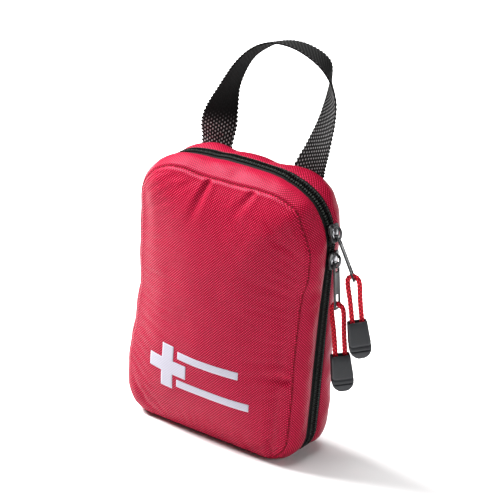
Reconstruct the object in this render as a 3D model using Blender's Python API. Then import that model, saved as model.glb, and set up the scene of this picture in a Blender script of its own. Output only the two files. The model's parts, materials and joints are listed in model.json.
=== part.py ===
"""First aid kit: a soft zipped pouch with a webbing handle, two sliders with cord pulls, and its contents.

Metres, +Z up. X runs across the pouch, -Y is the printed front, and Z=0 is the surface it stands on.
The origin is the middle of the base, just behind the fold line on which the front half opens.
"""

import math

import bmesh
import bpy
from mathutils import Vector

MM = 0.001
GAP = 0.3 * MM  # air between two pieces that touch on the real object

# The pouch, measured at its two seams: a rounded rectangle whose lower side is SEAM_LIFT above the table.
SEAM_WIDTH = 105 * MM
SEAM_HEIGHT = 150 * MM
SEAM_LIFT = 2 * MM
TOP_RADIUS = 26 * MM
BOTTOM_RADIUS = 15 * MM
FRONT_Y = -19.5 * MM
BACK_Y = 17.5 * MM
ZIP_Y = -1.5 * MM
CLOTH = 1.0 * MM  # padded side wall
PANEL_CLOTH = 1.2 * MM
FRONT_CROWN = 9 * MM
BACK_CROWN = 2.5 * MM
BINDING_OUT = (-2.4 * MM, -1.4 * MM)  # the binding tape lies inside the seams

# The zip runs round both sides and the top, and ends under the bottom corners. "Out" is measured outwards
# from the seam outline: the side walls puff out to PUFF beside the zip.
PUFF = 3.6 * MM
BOTTOM_HALF = 34 * MM  # half the width of the bottom piece, which has no zip and folds
TAPE_OUT = (2.2 * MM, 2.8 * MM)
TAPE_HALF = 5.5 * MM
COIL_OUT = (3.1 * MM, 4.4 * MM)
COIL_HALF = 3.1 * MM
CHAIN_GAP = 0.5 * MM  # from the chain's middle to each row of coil: the slider's post runs here
SINK = 2.6 * MM  # how far the chain is drawn in under the bottom corners, to stay off the table

# Sliders, in the frame of the seam outline: out of the pouch, across the chain, along the chain.
SLIDER_HALF = 5.0 * MM
SLIDER_PLATES = ((0.4 * MM, 1.2 * MM), (5.0 * MM, 6.0 * MM))
SLIDER_WIDTH = 9.0 * MM
POST_WIDTH = 0.4 * MM
BAIL_HALF_WIDTH = 1.0 * MM
UPPER_TURN = math.radians(15.3)  # where the upper slider stands on the top right corner
LOWER_Z = 119.3 * MM

# Pull tabs hang from the bails, cord loops from the tabs.
PULL_OUT = 7.5 * MM
PULL_DOWN = 1.9 * MM
TAB_WIDTH = 5.6 * MM
TAB_THICK = 1.0 * MM
TAB_LENGTH = 25.1 * MM
TAB_SLOT = 3.1 * MM  # width of its two slots
TAB_BAR = 0.7 * MM  # half the bar in the bail
TAB_END_BAR = 1.0 * MM  # the bar in the cord loop
TAB_PLATE = (-4.3 * MM, -16.8 * MM)  # the solid stretch between the slots
CORD_DOWN = 22.2 * MM  # from the tab's pivot to the middle of the cord where it goes through the tab
CORD_DIAMETER = 2.8 * MM
CORD_DROP = {"upper": 25.2 * MM, "lower": 28.8 * MM}  # from there to the mouth of the cord end
LOOP_DROP = 26.5 * MM  # the drop that the loop's shape is drawn for
END_TURN = math.radians(40)
END_TILT_EXTRA = math.radians(1.5)
TAB_LEAN = {"upper": math.radians(31.0), "lower": math.radians(8.2)}
CORD_LEAN = {"upper": math.radians(12.5), "lower": math.radians(10.4)}

# Handle: 20 mm webbing, both ends sewn into the back seam.
WEB_WIDTH = 20 * MM
WEB_THICK = 1.4 * MM
FOOT_X = (-32 * MM, 27 * MM)
FOOT_SLOT = (WEB_WIDTH + 1.2 * MM, 2.6 * MM, 18 * MM)  # the slot in the back wall that each foot stands in

SEAM_TOP = SEAM_LIFT + SEAM_HEIGHT
HALF_WIDTH = SEAM_WIDTH / 2
MIDDLE = Vector((0, SEAM_LIFT + SEAM_HEIGHT / 2))
CORNER_X = HALF_WIDTH - TOP_RADIUS
CORNER_Z = SEAM_TOP - TOP_RADIUS

RED_CLOTH = ((0.56, 0.012, 0.045), 0.75, 0)
RED_CORD = ((0.60, 0.008, 0.028), 0.65, 0)
BLACK_WEB = ((0.014, 0.014, 0.015), 0.8, 0)
BLACK_TAPE = ((0.010, 0.010, 0.011), 0.85, 0)
BLACK_COIL = ((0.014, 0.014, 0.016), 0.4, 0)
BLACK_METAL = ((0.030, 0.031, 0.034), 0.35, 0.9)
CORD_END = ((0.030, 0.032, 0.036), 0.45, 0)
WHITE_PRINT = ((0.86, 0.87, 0.90), 0.55, 0)
GAUZE = ((0.86, 0.85, 0.80), 0.9, 0)
CREPE = ((0.72, 0.52, 0.36), 0.9, 0)
WRAP = ((0.80, 0.82, 0.84), 0.4, 0)
PAPER = ((0.78, 0.80, 0.82), 0.7, 0)
CARD = ((0.75, 0.66, 0.50), 0.7, 0)
FOIL = ((0.80, 0.66, 0.30), 0.3, 0.8)
NITRILE = ((0.12, 0.25, 0.50), 0.5, 0)
STEEL = ((0.60, 0.61, 0.62), 0.3, 1)


def clear_scene():
    for old in list(bpy.data.objects):
        bpy.data.objects.remove(old)


def material(name, finish):
    colour, roughness, metallic = finish
    made = bpy.data.materials.new(name)
    made.use_nodes = True
    shader = made.node_tree.nodes["Principled BSDF"]
    shader.inputs["Base Color"].default_value = (*colour, 1)
    shader.inputs["Roughness"].default_value = roughness
    shader.inputs["Metallic"].default_value = metallic
    return made


def add_node(name, bm, finish, parent=None):
    """One named object from a bmesh, with its own material and its faces turned outwards."""
    bmesh.ops.recalc_face_normals(bm, faces=bm.faces)
    mesh = bpy.data.meshes.new(name)
    bm.to_mesh(mesh)
    bm.free()
    mesh.shade_smooth()
    mesh.set_sharp_from_angle(angle=math.radians(35))
    mesh.materials.append(material(name, finish))
    made = bpy.data.objects.new(name, mesh)
    bpy.context.scene.collection.objects.link(made)
    made.parent = parent
    return made


def add_axis(name, location, lean=0.0, parent=None):
    """An empty on a joint's axis. A positive lean swings what hangs below it outwards, towards +X."""
    made = bpy.data.objects.new(name, None)
    made.empty_display_size = 5 * MM
    made.location = location
    made.rotation_euler = (0, -lean, 0)
    made.parent = parent
    bpy.context.scene.collection.objects.link(made)
    return made


def loft(sections, closed=False):
    """A solid through rings of points with equal counts. An open one gets flat ends."""
    bm = bmesh.new()
    rings = [[bm.verts.new(point) for point in section] for section in sections]
    pairs = list(zip(rings, rings[1:]))
    if closed:
        pairs.append((rings[-1], rings[0]))
    for one, two in pairs:
        for i in range(len(one)):
            j = (i + 1) % len(one)
            bm.faces.new((one[i], one[j], two[j], two[i]))
    if not closed:
        bm.faces.new(rings[0])
        bm.faces.new(rings[-1])
    return bm


def prism(outline, low, high):
    """Extrudes an outline. Both ends come from functions that place (u, v) at a height."""
    return loft([[low(u, v) for u, v in outline], [high(u, v) for u, v in outline]])


def smooth_through(points, steps):
    """A Catmull-Rom curve through rows of numbers, with this many steps between two rows."""
    rows = [points[0], *points, points[-1]]
    curve = []
    for before, start, end, after in zip(rows, rows[1:], rows[2:], rows[3:]):
        for step in range(steps):
            t = step / steps
            row = []
            for a, b, c, d in zip(before, start, end, after):
                bend = (2 * a - 5 * b + 4 * c - d) * t**2 + (3 * b - a - 3 * c + d) * t**3
                row.append(b + 0.5 * ((c - a) * t + bend))
            curve.append(row)
    curve.append(list(points[-1]))
    return curve


def corner(centre_x, centre_z, radius, from_deg, steps):
    """Stations round a quarter turn, clockwise from an angle: (point, outward direction)."""
    stations = []
    for step in range(steps + 1):
        angle = math.radians(from_deg - 90 * step / steps)
        out = Vector((math.cos(angle), math.sin(angle)))
        stations.append((Vector((centre_x, centre_z)) + radius * out, out))
    return stations


def seam_stations(top_steps=7, bottom_steps=5):
    """Stations from the bottom left corner over the top to the bottom right corner."""
    low_x, low_z = HALF_WIDTH - BOTTOM_RADIUS, SEAM_LIFT + BOTTOM_RADIUS
    return [
        *corner(-low_x, low_z, BOTTOM_RADIUS, 270, bottom_steps),
        *corner(-CORNER_X, CORNER_Z, TOP_RADIUS, 180, top_steps),
        *corner(CORNER_X, CORNER_Z, TOP_RADIUS, 90, top_steps),
        *corner(low_x, low_z, BOTTOM_RADIUS, 0, bottom_steps),
    ]


def zip_stations():
    """The same way round, begun and ended where the zip goes under the bottom piece."""
    down = Vector((0, -1))
    ends = [(Vector((side * BOTTOM_HALF, SEAM_LIFT)), down) for side in (-1, 1)]
    return [ends[0], *seam_stations(), ends[1]]


def drawn_in(out, share):
    """How far the wall is drawn in at a station: nothing on the sides, SINK underneath."""
    return share * SINK * max(0.0, -out.y) ** 2


def sweep(stations, profile, closed=False):
    """Carries a profile of (y, out, share drawn in) round the pouch."""
    sections = []
    for point, out in stations:
        ring = []
        for y, distance, share in profile:
            place = point + out * (distance - drawn_in(out, share))
            ring.append((place.x, y, place.y))
        sections.append(ring)
    return loft(sections, closed)


def wall_profile(seam_y, zip_edge_y):
    """A side wall between a seam and the zip, puffed outwards, CLOTH thick."""
    way = 1 if zip_edge_y > seam_y else -1
    outside = [(0, 0, 0), (2, 2.6, 0.3), (5, 4.0, 0.6)]
    outer = [(seam_y + way * a * MM, out * MM, share) for a, out, share in outside]
    outer.append((zip_edge_y, PUFF, 1))
    return outer + [(y, out - CLOTH, share) for y, out, share in reversed(outer)]


def flat_profile(y_low, y_high, out, share):
    corners = ((y_low, out[0]), (y_high, out[0]), (y_high, out[1]), (y_low, out[1]))
    return [(y, distance, share) for y, distance in corners]


def scaled_ring(share, steps_between=3):
    """The seam outline shrunk about its middle, with extra points on the straight stretches."""
    points = [point for point, _ in seam_stations()]
    ring = []
    for one, two in zip(points, points[1:] + points[:1]):
        count = steps_between if (two - one).length > 2 * BOTTOM_RADIUS else 1
        ring += [one.lerp(two, step / count) for step in range(count)]
    return [MIDDLE + (point - MIDDLE) * share for point in ring]


def panel(rim_y, way, crown, power):
    """A crowned cloth panel with its rim at rim_y, PANEL_CLOTH thick, bulging towards way."""
    outer, inner = [], []
    for share in (1.0, 0.93, 0.82, 0.66, 0.45, 0.22):
        rise = crown * (1 - share**power)
        ring = scaled_ring(share)
        outer.append([(p.x, rim_y + way * (rise + PANEL_CLOTH), p.y) for p in ring])
        inner.append([(p.x, rim_y + way * rise, p.y) for p in ring])
    return loft([*reversed(outer), *inner])


def outline_share(x, z):
    """The share at which the shrunk seam outline passes through a point."""
    low, high = 0.0, 1.5
    for _ in range(40):
        share = (low + high) / 2
        local = Vector((abs(x) / share, (z - MIDDLE.y) / share)) if share else Vector((0, 0))
        radius = TOP_RADIUS if local.y > 0 else BOTTOM_RADIUS
        over_x = max(0.0, local.x - (HALF_WIDTH - radius))
        over_z = max(0.0, abs(local.y) - (SEAM_HEIGHT / 2 - radius))
        if math.hypot(over_x, over_z) > radius:
            low = share
        else:
            high = share
    return high


def front_face(x, z):
    """Y of the front panel's smooth outer face."""
    return FRONT_Y - GAP - PANEL_CLOTH - FRONT_CROWN * (1 - outline_share(x, z) ** 3)


def film(cells):
    """A printed film on the front panel, made of touching rectangles (x0, z0, x1, z1)."""
    thickness = 0.3 * MM
    bm = bmesh.new()
    placed = {}

    def vert(x, z):
        key = (round(x / MM, 3), round(z / MM, 3))
        if key not in placed:
            placed[key] = bm.verts.new((x, front_face(x, z) - GAP, z))
        return placed[key]

    for x0, z0, x1, z1 in cells:
        bm.faces.new((vert(x0, z0), vert(x1, z0), vert(x1, z1), vert(x0, z1)))
    front = bmesh.ops.extrude_face_region(bm, geom=bm.faces[:], use_keep_orig=True)["geom"]
    lifted = [item for item in front if isinstance(item, bmesh.types.BMVert)]
    bmesh.ops.translate(bm, verts=lifted, vec=(0, -thickness, 0))
    return bm


def grid_cells(x0, z0, x1, z1, across, up):
    cells = []
    for i in range(across):
        for j in range(up):
            cells.append((
                x0 + (x1 - x0) * i / across,
                z0 + (z1 - z0) * j / up,
                x0 + (x1 - x0) * (i + 1) / across,
                z0 + (z1 - z0) * (j + 1) / up,
            ))
    return cells


def block(size, centre):
    bm = bmesh.new()
    bmesh.ops.create_cube(bm, size=1)
    bmesh.ops.scale(bm, vec=size, verts=bm.verts)
    bmesh.ops.translate(bm, vec=centre, verts=bm.verts)
    return bm


def rounded(made, width, segments=2):
    bevel = made.modifiers.new("rounded_edges", "BEVEL")
    bevel.width = width
    bevel.segments = segments
    bevel.limit_method = "ANGLE"
    return made


def cutter(name, size, centre, target):
    """A hidden box that a Boolean takes out of its target."""
    made = add_node(name, block(size, centre), BLACK_TAPE)
    made.hide_render = True
    made.display_type = "WIRE"
    cut = target.modifiers.new(name, "BOOLEAN")
    cut.operation = "DIFFERENCE"
    cut.object = made


def build_shell():
    """Panels, side walls, bottom pieces and the binding tape over the seams inside."""
    add_node("front_panel", panel(FRONT_Y - GAP, -1, FRONT_CROWN, 3), RED_CLOTH)
    add_node("back_panel", panel(BACK_Y + GAP, 1, BACK_CROWN, 4), RED_CLOTH)
    zip_front = ZIP_Y - TAPE_HALF - GAP
    zip_back = ZIP_Y + TAPE_HALF + GAP
    add_node("front_gusset", sweep(zip_stations(), wall_profile(FRONT_Y, zip_front)), RED_CLOTH)
    back = add_node("back_gusset", sweep(zip_stations(), wall_profile(BACK_Y, zip_back)), RED_CLOTH)
    for side, foot_x in zip(("left", "right"), FOOT_X):
        centre = (foot_x, BACK_Y - 1.1 * MM, SEAM_TOP - 2 * MM)
        cutter(f"handle_slot_{side}", FOOT_SLOT, centre, back)
    rim = seam_stations()
    front_tape = flat_profile(FRONT_Y + 0.6 * MM, FRONT_Y + 8 * MM, BINDING_OUT, 0)
    back_tape = flat_profile(BACK_Y - 9.5 * MM, BACK_Y - 2.6 * MM, BINDING_OUT, 0)
    add_node("front_seam_binding", sweep(rim, front_tape, closed=True), BLACK_TAPE)
    add_node("back_seam_binding", sweep(rim, back_tape, closed=True), BLACK_TAPE)


def build_bottom():
    """The bottom piece, which folds under the zip line: its two sides are separate solids."""
    half = BOTTOM_HALF - GAP
    fold = 0.5 * GAP
    sides = (
        ("bottom_gusset_front", FRONT_Y, ZIP_Y - fold, 1),
        ("bottom_gusset_rear", BACK_Y, ZIP_Y + fold, -1),
    )
    for name, seam_y, fold_y, way in sides:
        outline = [
            (seam_y, SEAM_LIFT),
            (seam_y + way * 1.5 * MM, 0.6 * MM),
            (seam_y + way * 4 * MM, 0),
            (fold_y, 0),
            (fold_y, CLOTH),
            (seam_y + way * 4 * MM, CLOTH),
            (seam_y + way * 1.9 * MM, 0.6 * MM + CLOTH),
            (seam_y, SEAM_LIFT + CLOTH),
        ]
        ends = [lambda y, z, x=x: (x, y, z) for x in (-half, half)]
        add_node(name, prism(outline, *ends), RED_CLOTH)


def build_zip():
    for side, way in (("front", -1), ("back", 1)):
        inner = ZIP_Y + way * CHAIN_GAP
        tape = flat_profile(inner, ZIP_Y + way * TAPE_HALF, TAPE_OUT, 1)
        coil = flat_profile(inner, ZIP_Y + way * COIL_HALF, COIL_OUT, 1)
        add_node(f"zip_tape_{side}", sweep(zip_stations(), tape), BLACK_TAPE)
        add_node(f"zip_coil_{side}", sweep(zip_stations(), coil), BLACK_COIL)


def build_print():
    """A plain cross and two plain bars beside it."""
    arm = 8.0 * MM
    reach = 8.9 * MM
    x, z = -21.9 * MM, 39.9 * MM
    cells = grid_cells(x - arm / 2, z - arm / 2, x + arm / 2, z + arm / 2, 2, 2)
    for way in (-1, 1):
        near, far = way * arm / 2, way * (arm / 2 + reach)
        cells += grid_cells(x + min(near, far), z - arm / 2, x + max(near, far), z + arm / 2, 2, 2)
        cells += grid_cells(x - arm / 2, z + min(near, far), x + arm / 2, z + max(near, far), 2, 2)
    add_node("cross_print", film(cells), WHITE_PRINT)
    bar_height = 4.4 * MM
    for name, low_x, high_x, low_z in (
        ("upper_bar_print", -15 * MM, 23.5 * MM, 46.6 * MM),
        ("lower_bar_print", -15 * MM, 31 * MM, 29.4 * MM),
    ):
        add_node(name, film(grid_cells(low_x, low_z, high_x, low_z + bar_height, 6, 1)), WHITE_PRINT)


# The handle's middle line, foot to foot: x, y, z in mm, the turn of its width about Z in degrees
# (0 along the pouch, 90 front to back), and how far its back edge drops in degrees.
HANDLE_ROUTE = (
    (-32.0, 16.3, 140, 0, 0),
    (-32.0, 16.3, 152, 0, 0),
    (-32.2, 16.9, 158, 6, 0),
    (-32.4, 17.4, 165, 30, 0),
    (-31.8, 17.8, 174, 55, 0),
    (-28.8, 18.2, 187, 80, 0),
    (-21.5, 18.5, 203, 90, 4),
    (-12.0, 18.5, 213.5, 90, 9),
    (-2.0, 18.5, 219.5, 90, 10),
    (9.0, 18.5, 221.5, 90, 10),
    (20.0, 18.5, 220.0, 92, 10),
    (28.5, 18.5, 216.0, 105, 6),
    (33.0, 18.5, 209.5, 120, 0),
    (35.2, 18.2, 200, 134, 0),
    (35.0, 17.8, 190, 142, 0),
    (33.2, 17.2, 178, 150, 0),
    (29.9, 17.1, 165, 162, 0),
    (28.0, 16.7, 158, 174, 0),
    (27.0, 16.3, 152, 180, 0),
    (27.0, 16.3, 140, 180, 0),
)


def build_handle():
    rows = smooth_through(HANDLE_ROUTE, 2)
    middle = [Vector(row[:3]) * MM for row in rows]
    sections = []
    for i, (x, y, z, turn, drop) in enumerate(rows):
        along = (middle[min(i + 1, len(rows) - 1)] - middle[max(i - 1, 0)]).normalized()
        turn, drop = math.radians(turn), math.radians(drop)
        across = Vector((math.cos(turn), math.sin(turn) * math.cos(drop), -math.sin(turn) * math.sin(drop)))
        across = (across - along * across.dot(along)).normalized()
        face = along.cross(across)
        side, thick = across * WEB_WIDTH / 2, face * WEB_THICK / 2
        sections.append([middle[i] + a * side + b * thick for a, b in ((-1, -1), (1, -1), (1, 1), (-1, 1))])
    add_node("handle_strap", loft(sections), BLACK_WEB)


def slider_profile():
    """The plates over and under the chain and the post between them, as (y, out)."""
    (low, inner_low), (inner_high, high) = SLIDER_PLATES
    wide, thin = SLIDER_WIDTH / 2, POST_WIDTH / 2
    under = [(wide, low), (wide, inner_low), (thin, inner_low)]
    over = [(thin, inner_high), (wide, inner_high), (wide, high)]
    return under + over + [(-y, out) for y, out in reversed(under + over)]


def bail_outline():
    """The bail seen from its side, as (along the chain, out): an arch of strip 0.9 to 1 mm high."""
    foot = SLIDER_PLATES[1][1] + GAP
    outer = [(-4.4, 0), (-4.3, 1.5), (-3.0, 3.2), (-1.0, 3.9), (1.4, 3.8), (3.4, 2.6), (4.4, 0)]
    inner = [(3.4, 0), (2.6, 2.0), (1.1, 2.9), (-0.9, 3.0), (-2.4, 2.4), (-3.4, 1.2), (-3.5, 0)]
    return [(along * MM, foot + out * MM) for along, out in outer + inner]


def build_slider(which, axis, reach):
    """A slider on its axis empty, whose local X points out of the pouch, at reach from the seam outline."""
    ends = [lambda y, out, along=along: (reach + out, y, along) for along in (-SLIDER_HALF, SLIDER_HALF)]
    add_node(f"slider_{which}_body", prism(slider_profile(), *ends), BLACK_METAL, axis)
    sides = [lambda along, out, y=y: (reach + out, y, along) for y in (-BAIL_HALF_WIDTH, BAIL_HALF_WIDTH)]
    add_node(f"slider_{which}_bail", prism(bail_outline(), *sides), BLACK_METAL, axis)


def tab_mesh():
    """The pull tab hanging down from its pivot: a flat frame with a slot at each end."""
    bm = bmesh.new()
    levels = [TAB_BAR, -TAB_BAR, *TAB_PLATE, -TAB_LENGTH + TAB_END_BAR, -TAB_LENGTH]
    half, slot = TAB_WIDTH / 2, TAB_SLOT / 2
    columns = [-half, -slot, slot, half]
    open_rows = (1, 3)
    verts = [[bm.verts.new((-TAB_THICK / 2, y, z)) for y in columns] for z in levels]
    for row in range(len(levels) - 1):
        for column in range(3):
            if row in open_rows and column == 1:
                continue
            a, b = verts[row], verts[row + 1]
            bm.faces.new((a[column], a[column + 1], b[column + 1], b[column]))
    grown = bmesh.ops.extrude_face_region(bm, geom=bm.faces[:], use_keep_orig=True)["geom"]
    moved = [item for item in grown if isinstance(item, bmesh.types.BMVert)]
    bmesh.ops.translate(bm, verts=moved, vec=(TAB_THICK, 0, 0))
    return bm


# Half of a cord loop, from where it crosses the tab down to the mouth of the cord end:
# distance down, half the width of the loop, and the turn of its plane about Z in degrees.
LOOP_HALF = (
    (0.0, 0.0, 0),
    (0.35, 1.3, 0),
    (1.5, 2.8, 2),
    (3.4, 3.4, 5),
    (8.0, 3.15, 15),
    (14.0, 2.7, 24),
    (20.0, 2.6, 33),
    (25.0, 2.6, 39),
    (27.7, 2.6, 40),
)


def build_cord(which, axis):
    """The cord loop as a filled curve: up one leg, through the tab's slot and down the other."""
    half = smooth_through(LOOP_HALF, 2)
    fall = CORD_DROP[which] / LOOP_DROP * MM
    points = []
    for side, rows in ((-1, reversed(half)), (1, half[1:])):
        for down, width, turn in rows:
            angle = math.radians(turn)
            reach = side * width * MM
            points.append((reach * math.cos(angle), reach * math.sin(angle), -down * fall))
    curve = bpy.data.curves.new(f"cord_loop_{which}", "CURVE")
    curve.dimensions = "3D"
    curve.bevel_depth = CORD_DIAMETER / 2
    curve.bevel_resolution = 2
    curve.use_fill_caps = True
    spline = curve.splines.new("POLY")
    spline.points.add(len(points) - 1)
    for place, point in zip(spline.points, points):
        place.co = (*point, 1)
    curve.materials.append(material(f"cord_loop_{which}", RED_CORD))
    made = bpy.data.objects.new(f"cord_loop_{which}", curve)
    made.parent = axis
    bpy.context.scene.collection.objects.link(made)


def end_section(down, half_width, half_depth, cut=0.3):
    """An oblong ring with clipped corners, level, at a distance below the mouth."""
    clip = min(half_width, half_depth) * cut
    ring = [
        (half_width - clip, -half_depth), (half_width, -half_depth + clip),
        (half_width, half_depth - clip), (half_width - clip, half_depth),
        (-half_width + clip, half_depth), (-half_width, half_depth - clip),
        (-half_width, -half_depth + clip), (-half_width + clip, -half_depth),
    ]
    return [(x * MM, y * MM, -down * MM) for x, y in ring]


def build_cord_end(which, axis):
    """The moulded cord end: a shell with a mouth that the cord's two ends go into, and a snap-on cap."""
    shell = loft([
        end_section(2.2, 4.4, 1.9),
        end_section(0.0, 4.5, 2.0),
        end_section(0.0, 5.3, 3.2),
        end_section(6.0, 5.5, 3.5),
        end_section(12.0, 5.9, 3.6),
        end_section(16.2, 6.1, 3.5),
    ])
    add_node(f"cord_end_{which}_shell", shell, CORD_END, axis)
    cap = loft([
        end_section(16.5, 6.1, 3.5),
        end_section(18.3, 5.8, 3.3),
        end_section(19.8, 4.6, 2.6, 0.5),
        end_section(20.6, 2.6, 1.6, 0.6),
    ])
    add_node(f"cord_end_{which}_cap", cap, CORD_END, axis)


def build_pull(which, slider_axis, reach):
    """Tab, cord loop and cord end, hung from the slider's bail one below the other."""
    pivot = (reach + PULL_OUT, 0, -PULL_DOWN)
    already = -slider_axis.rotation_euler.y
    tab_axis = add_axis(f"pull_{which}_axis", pivot, TAB_LEAN[which] - already, slider_axis)
    add_node(f"pull_tab_{which}", tab_mesh(), BLACK_METAL, tab_axis)
    cord_axis = add_axis(
        f"cord_{which}_axis", (0, 0, -CORD_DOWN), CORD_LEAN[which] - TAB_LEAN[which], tab_axis
    )
    build_cord(which, cord_axis)
    mouth = add_axis(f"cord_end_{which}_mouth", (0, 0, -CORD_DROP[which]), END_TILT_EXTRA, cord_axis)
    mouth.rotation_euler.z = END_TURN
    build_cord_end(which, mouth)


def build_sliders():
    upper = add_axis("slider_upper_axis", (CORNER_X, ZIP_Y, CORNER_Z), UPPER_TURN)
    build_slider("upper", upper, TOP_RADIUS)
    build_pull("upper", upper, TOP_RADIUS)
    lower = add_axis("slider_lower_axis", (HALF_WIDTH, ZIP_Y, LOWER_Z))
    build_slider("lower", lower, 0.0)
    build_pull("lower", lower, 0.0)


# Flat packs inside, each as its low and high corner in mm.
PACKS = (
    ("rescue_blanket_pack", (-41, 8.5, 6), (41, 16.2, 62), FOIL),
    ("glove_pack", (-42, 10.5, 64), (8, 15.5, 122), NITRILE),
    ("triangular_bandage_pack", (-40, -1.5, 66), (40, 7.5, 126), PAPER),
    ("wound_dressing_pack", (-40, -10.5, 64), (40, -2.5, 130), WRAP),
    ("plaster_pack", (24, -9.5, 8), (42, 6.5, 60), CARD),
    ("cleansing_wipe_pack", (-37, -16.0, 10), (20, -13.2, 50), FOIL),
)

# Bandage rolls: radius and height of the middle. Both lie along X, with slightly rounded ends.
ROLLS = (
    ("gauze_bandage_roll", 9.5 * MM, 17 * MM, GAUZE),
    ("elastic_bandage_roll", 9.8 * MM, 38 * MM, CREPE),
)
ROLL_Y = -3 * MM
ROLL_ENDS = ((-38 * MM, 0.86), (-37 * MM, 1.0), (21 * MM, 1.0), (22 * MM, 0.86))


def build_contents():
    for name, low, high, finish in PACKS:
        size = [(b - a) * MM for a, b in zip(low, high)]
        centre = [(a + b) / 2 * MM for a, b in zip(low, high)]
        rounded(add_node(name, block(size, centre), finish), 1.2 * MM)
    for name, radius, z, finish in ROLLS:
        sections = []
        for x, share in ROLL_ENDS:
            ring = []
            for step in range(24):
                turn = 2 * math.pi * step / 24
                size = radius * share
                ring.append((x, ROLL_Y + size * math.cos(turn), z + size * math.sin(turn)))
            sections.append(ring)
        add_node(name, loft(sections), finish)
    build_tweezers()
    build_elastic_loop()


def build_tweezers():
    """One bent strip: two legs, joined at the top, lying along Z behind the packs."""
    back, front = 14.6, 11.4
    top, tips = 141.0, 66.0
    leg, splay, joined = 0.9, 0.2, 8.0
    fork = top - joined
    front_leg = [(front, top), (front - splay, tips), (front + leg - splay, tips), (front + leg, fork)]
    back_leg = [(back - leg, fork), (back - leg + splay, tips), (back + splay, tips), (back, top)]
    ends = [lambda y, z, x=x: (x * MM, y * MM, z * MM) for x in (24, 31)]
    add_node("tweezers", prism(front_leg + back_leg, *ends), STEEL)


def build_elastic_loop():
    """An elastic band sewn flat to the back panel on both sides of the tweezers it holds."""
    left = [(14, 17.2), (14, 16.5), (19.5, 16.5), (22.6, 10.2)]
    right = [(32.4, 10.2), (35.5, 16.5), (41, 16.5), (41, 17.2)]
    inner = [(35.0, 17.2), (31.9, 10.9), (23.1, 10.9), (20.0, 17.2)]
    ends = [lambda x, y, z=z: (x * MM, y * MM, z * MM) for z in (92, 110)]
    add_node("elastic_loop", prism(left + right + inner, *ends), BLACK_WEB)


clear_scene()
build_shell()
build_bottom()
build_zip()
build_print()
build_handle()
build_sliders()
build_contents()
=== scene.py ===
"""The looks of the first aid kit: cloth, zip, webbing, cords and contents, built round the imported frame.

Metres, +Z up, in the frame's own coordinates: X runs across the pouch and -Y is its printed front.
"""

import json
import math

import bpy
import numpy as np
from mathutils import Matrix, Vector, noise
from mathutils.bvhtree import BVHTree


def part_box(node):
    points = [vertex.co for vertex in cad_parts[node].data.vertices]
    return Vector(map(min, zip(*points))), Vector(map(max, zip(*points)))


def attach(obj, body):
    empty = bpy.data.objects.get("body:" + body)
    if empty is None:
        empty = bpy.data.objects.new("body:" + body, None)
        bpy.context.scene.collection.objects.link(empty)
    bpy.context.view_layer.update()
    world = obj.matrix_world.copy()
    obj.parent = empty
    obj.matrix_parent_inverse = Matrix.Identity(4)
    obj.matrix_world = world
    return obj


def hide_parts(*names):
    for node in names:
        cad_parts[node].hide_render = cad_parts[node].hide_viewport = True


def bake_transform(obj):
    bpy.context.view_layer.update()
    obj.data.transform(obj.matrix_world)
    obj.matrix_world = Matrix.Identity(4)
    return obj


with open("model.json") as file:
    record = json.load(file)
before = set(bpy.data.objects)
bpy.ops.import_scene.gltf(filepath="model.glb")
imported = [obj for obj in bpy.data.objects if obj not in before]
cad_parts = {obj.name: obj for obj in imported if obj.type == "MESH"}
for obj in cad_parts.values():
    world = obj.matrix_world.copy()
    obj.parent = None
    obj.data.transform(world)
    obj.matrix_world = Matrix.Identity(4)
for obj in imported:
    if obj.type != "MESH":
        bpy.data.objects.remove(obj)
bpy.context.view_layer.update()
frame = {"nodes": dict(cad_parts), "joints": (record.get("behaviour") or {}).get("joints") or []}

MM = 0.001
JOINTS = {joint["name"]: joint for joint in frame["joints"]}
CORNER = Vector(JOINTS["slider_upper_travel"]["pos_m"])  # middle of the top right corner
ZIP_Y = CORNER.y
HALF_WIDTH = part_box("front_panel")[1].x
SEAM_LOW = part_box("front_panel")[0].z
SEAM_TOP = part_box("front_panel")[1].z
FRONT_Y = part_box("front_gusset")[0].y
BACK_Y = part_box("back_gusset")[1].y
TOP_RADIUS = HALF_WIDTH - CORNER.x
BOTTOM_RADIUS = 15 * MM
BOTTOM_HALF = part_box("bottom_gusset_front")[1].x
PUFF = 3.6 * MM  # how far the side walls stand out beside the zip
SINK = 2.6 * MM  # how far the zip is drawn in under the bottom corners
CLOTH, WALL_CLOTH, BOTTOM_CLOTH = 0.8 * MM, 0.6 * MM, 0.7 * MM  # thicknesses
SHARP = math.radians(35)  # an edge that turns by more than this is bevelled
PATH_STEP = {"webbing": 0.30 * MM, "cord": 0.24 * MM}  # between two rows of the mesh


# ---- camera, light and floor

EYE = Vector((692.5, -1115.2, 684.9)) * MM
AIM = Vector((-2.0, 11.8, 101.55)) * MM
ROLL = math.radians(5.35)
LENS = 192
LIGHTS = (  # name, place, size in metres, power in watts
    ("key", (-1.3, -0.2, 1.5), 0.8, 124),
    ("top", (-0.2, -0.05, 2.0), 1.4, 34),
    ("fill", (1.35, 0.1, 0.6), 0.8, 6.5),
)
REACH = 6  # half the side of the floor


def in_scene(name, data):
    """A new object in the scene."""
    made = bpy.data.objects.new(name, data)
    bpy.context.scene.collection.objects.link(made)
    return made


def build_camera():
    data = bpy.data.cameras.new("camera")
    data.sensor_width = 36
    data.lens = LENS
    data.clip_end = 20
    camera = in_scene("camera", data)
    camera.rotation_mode = "QUATERNION"
    camera.location = EYE
    roll = Matrix.Rotation(ROLL, 3, "Z").to_quaternion()
    camera.rotation_quaternion = (AIM - EYE).to_track_quat("-Z", "Y") @ roll
    bpy.context.scene.camera = camera


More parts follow.
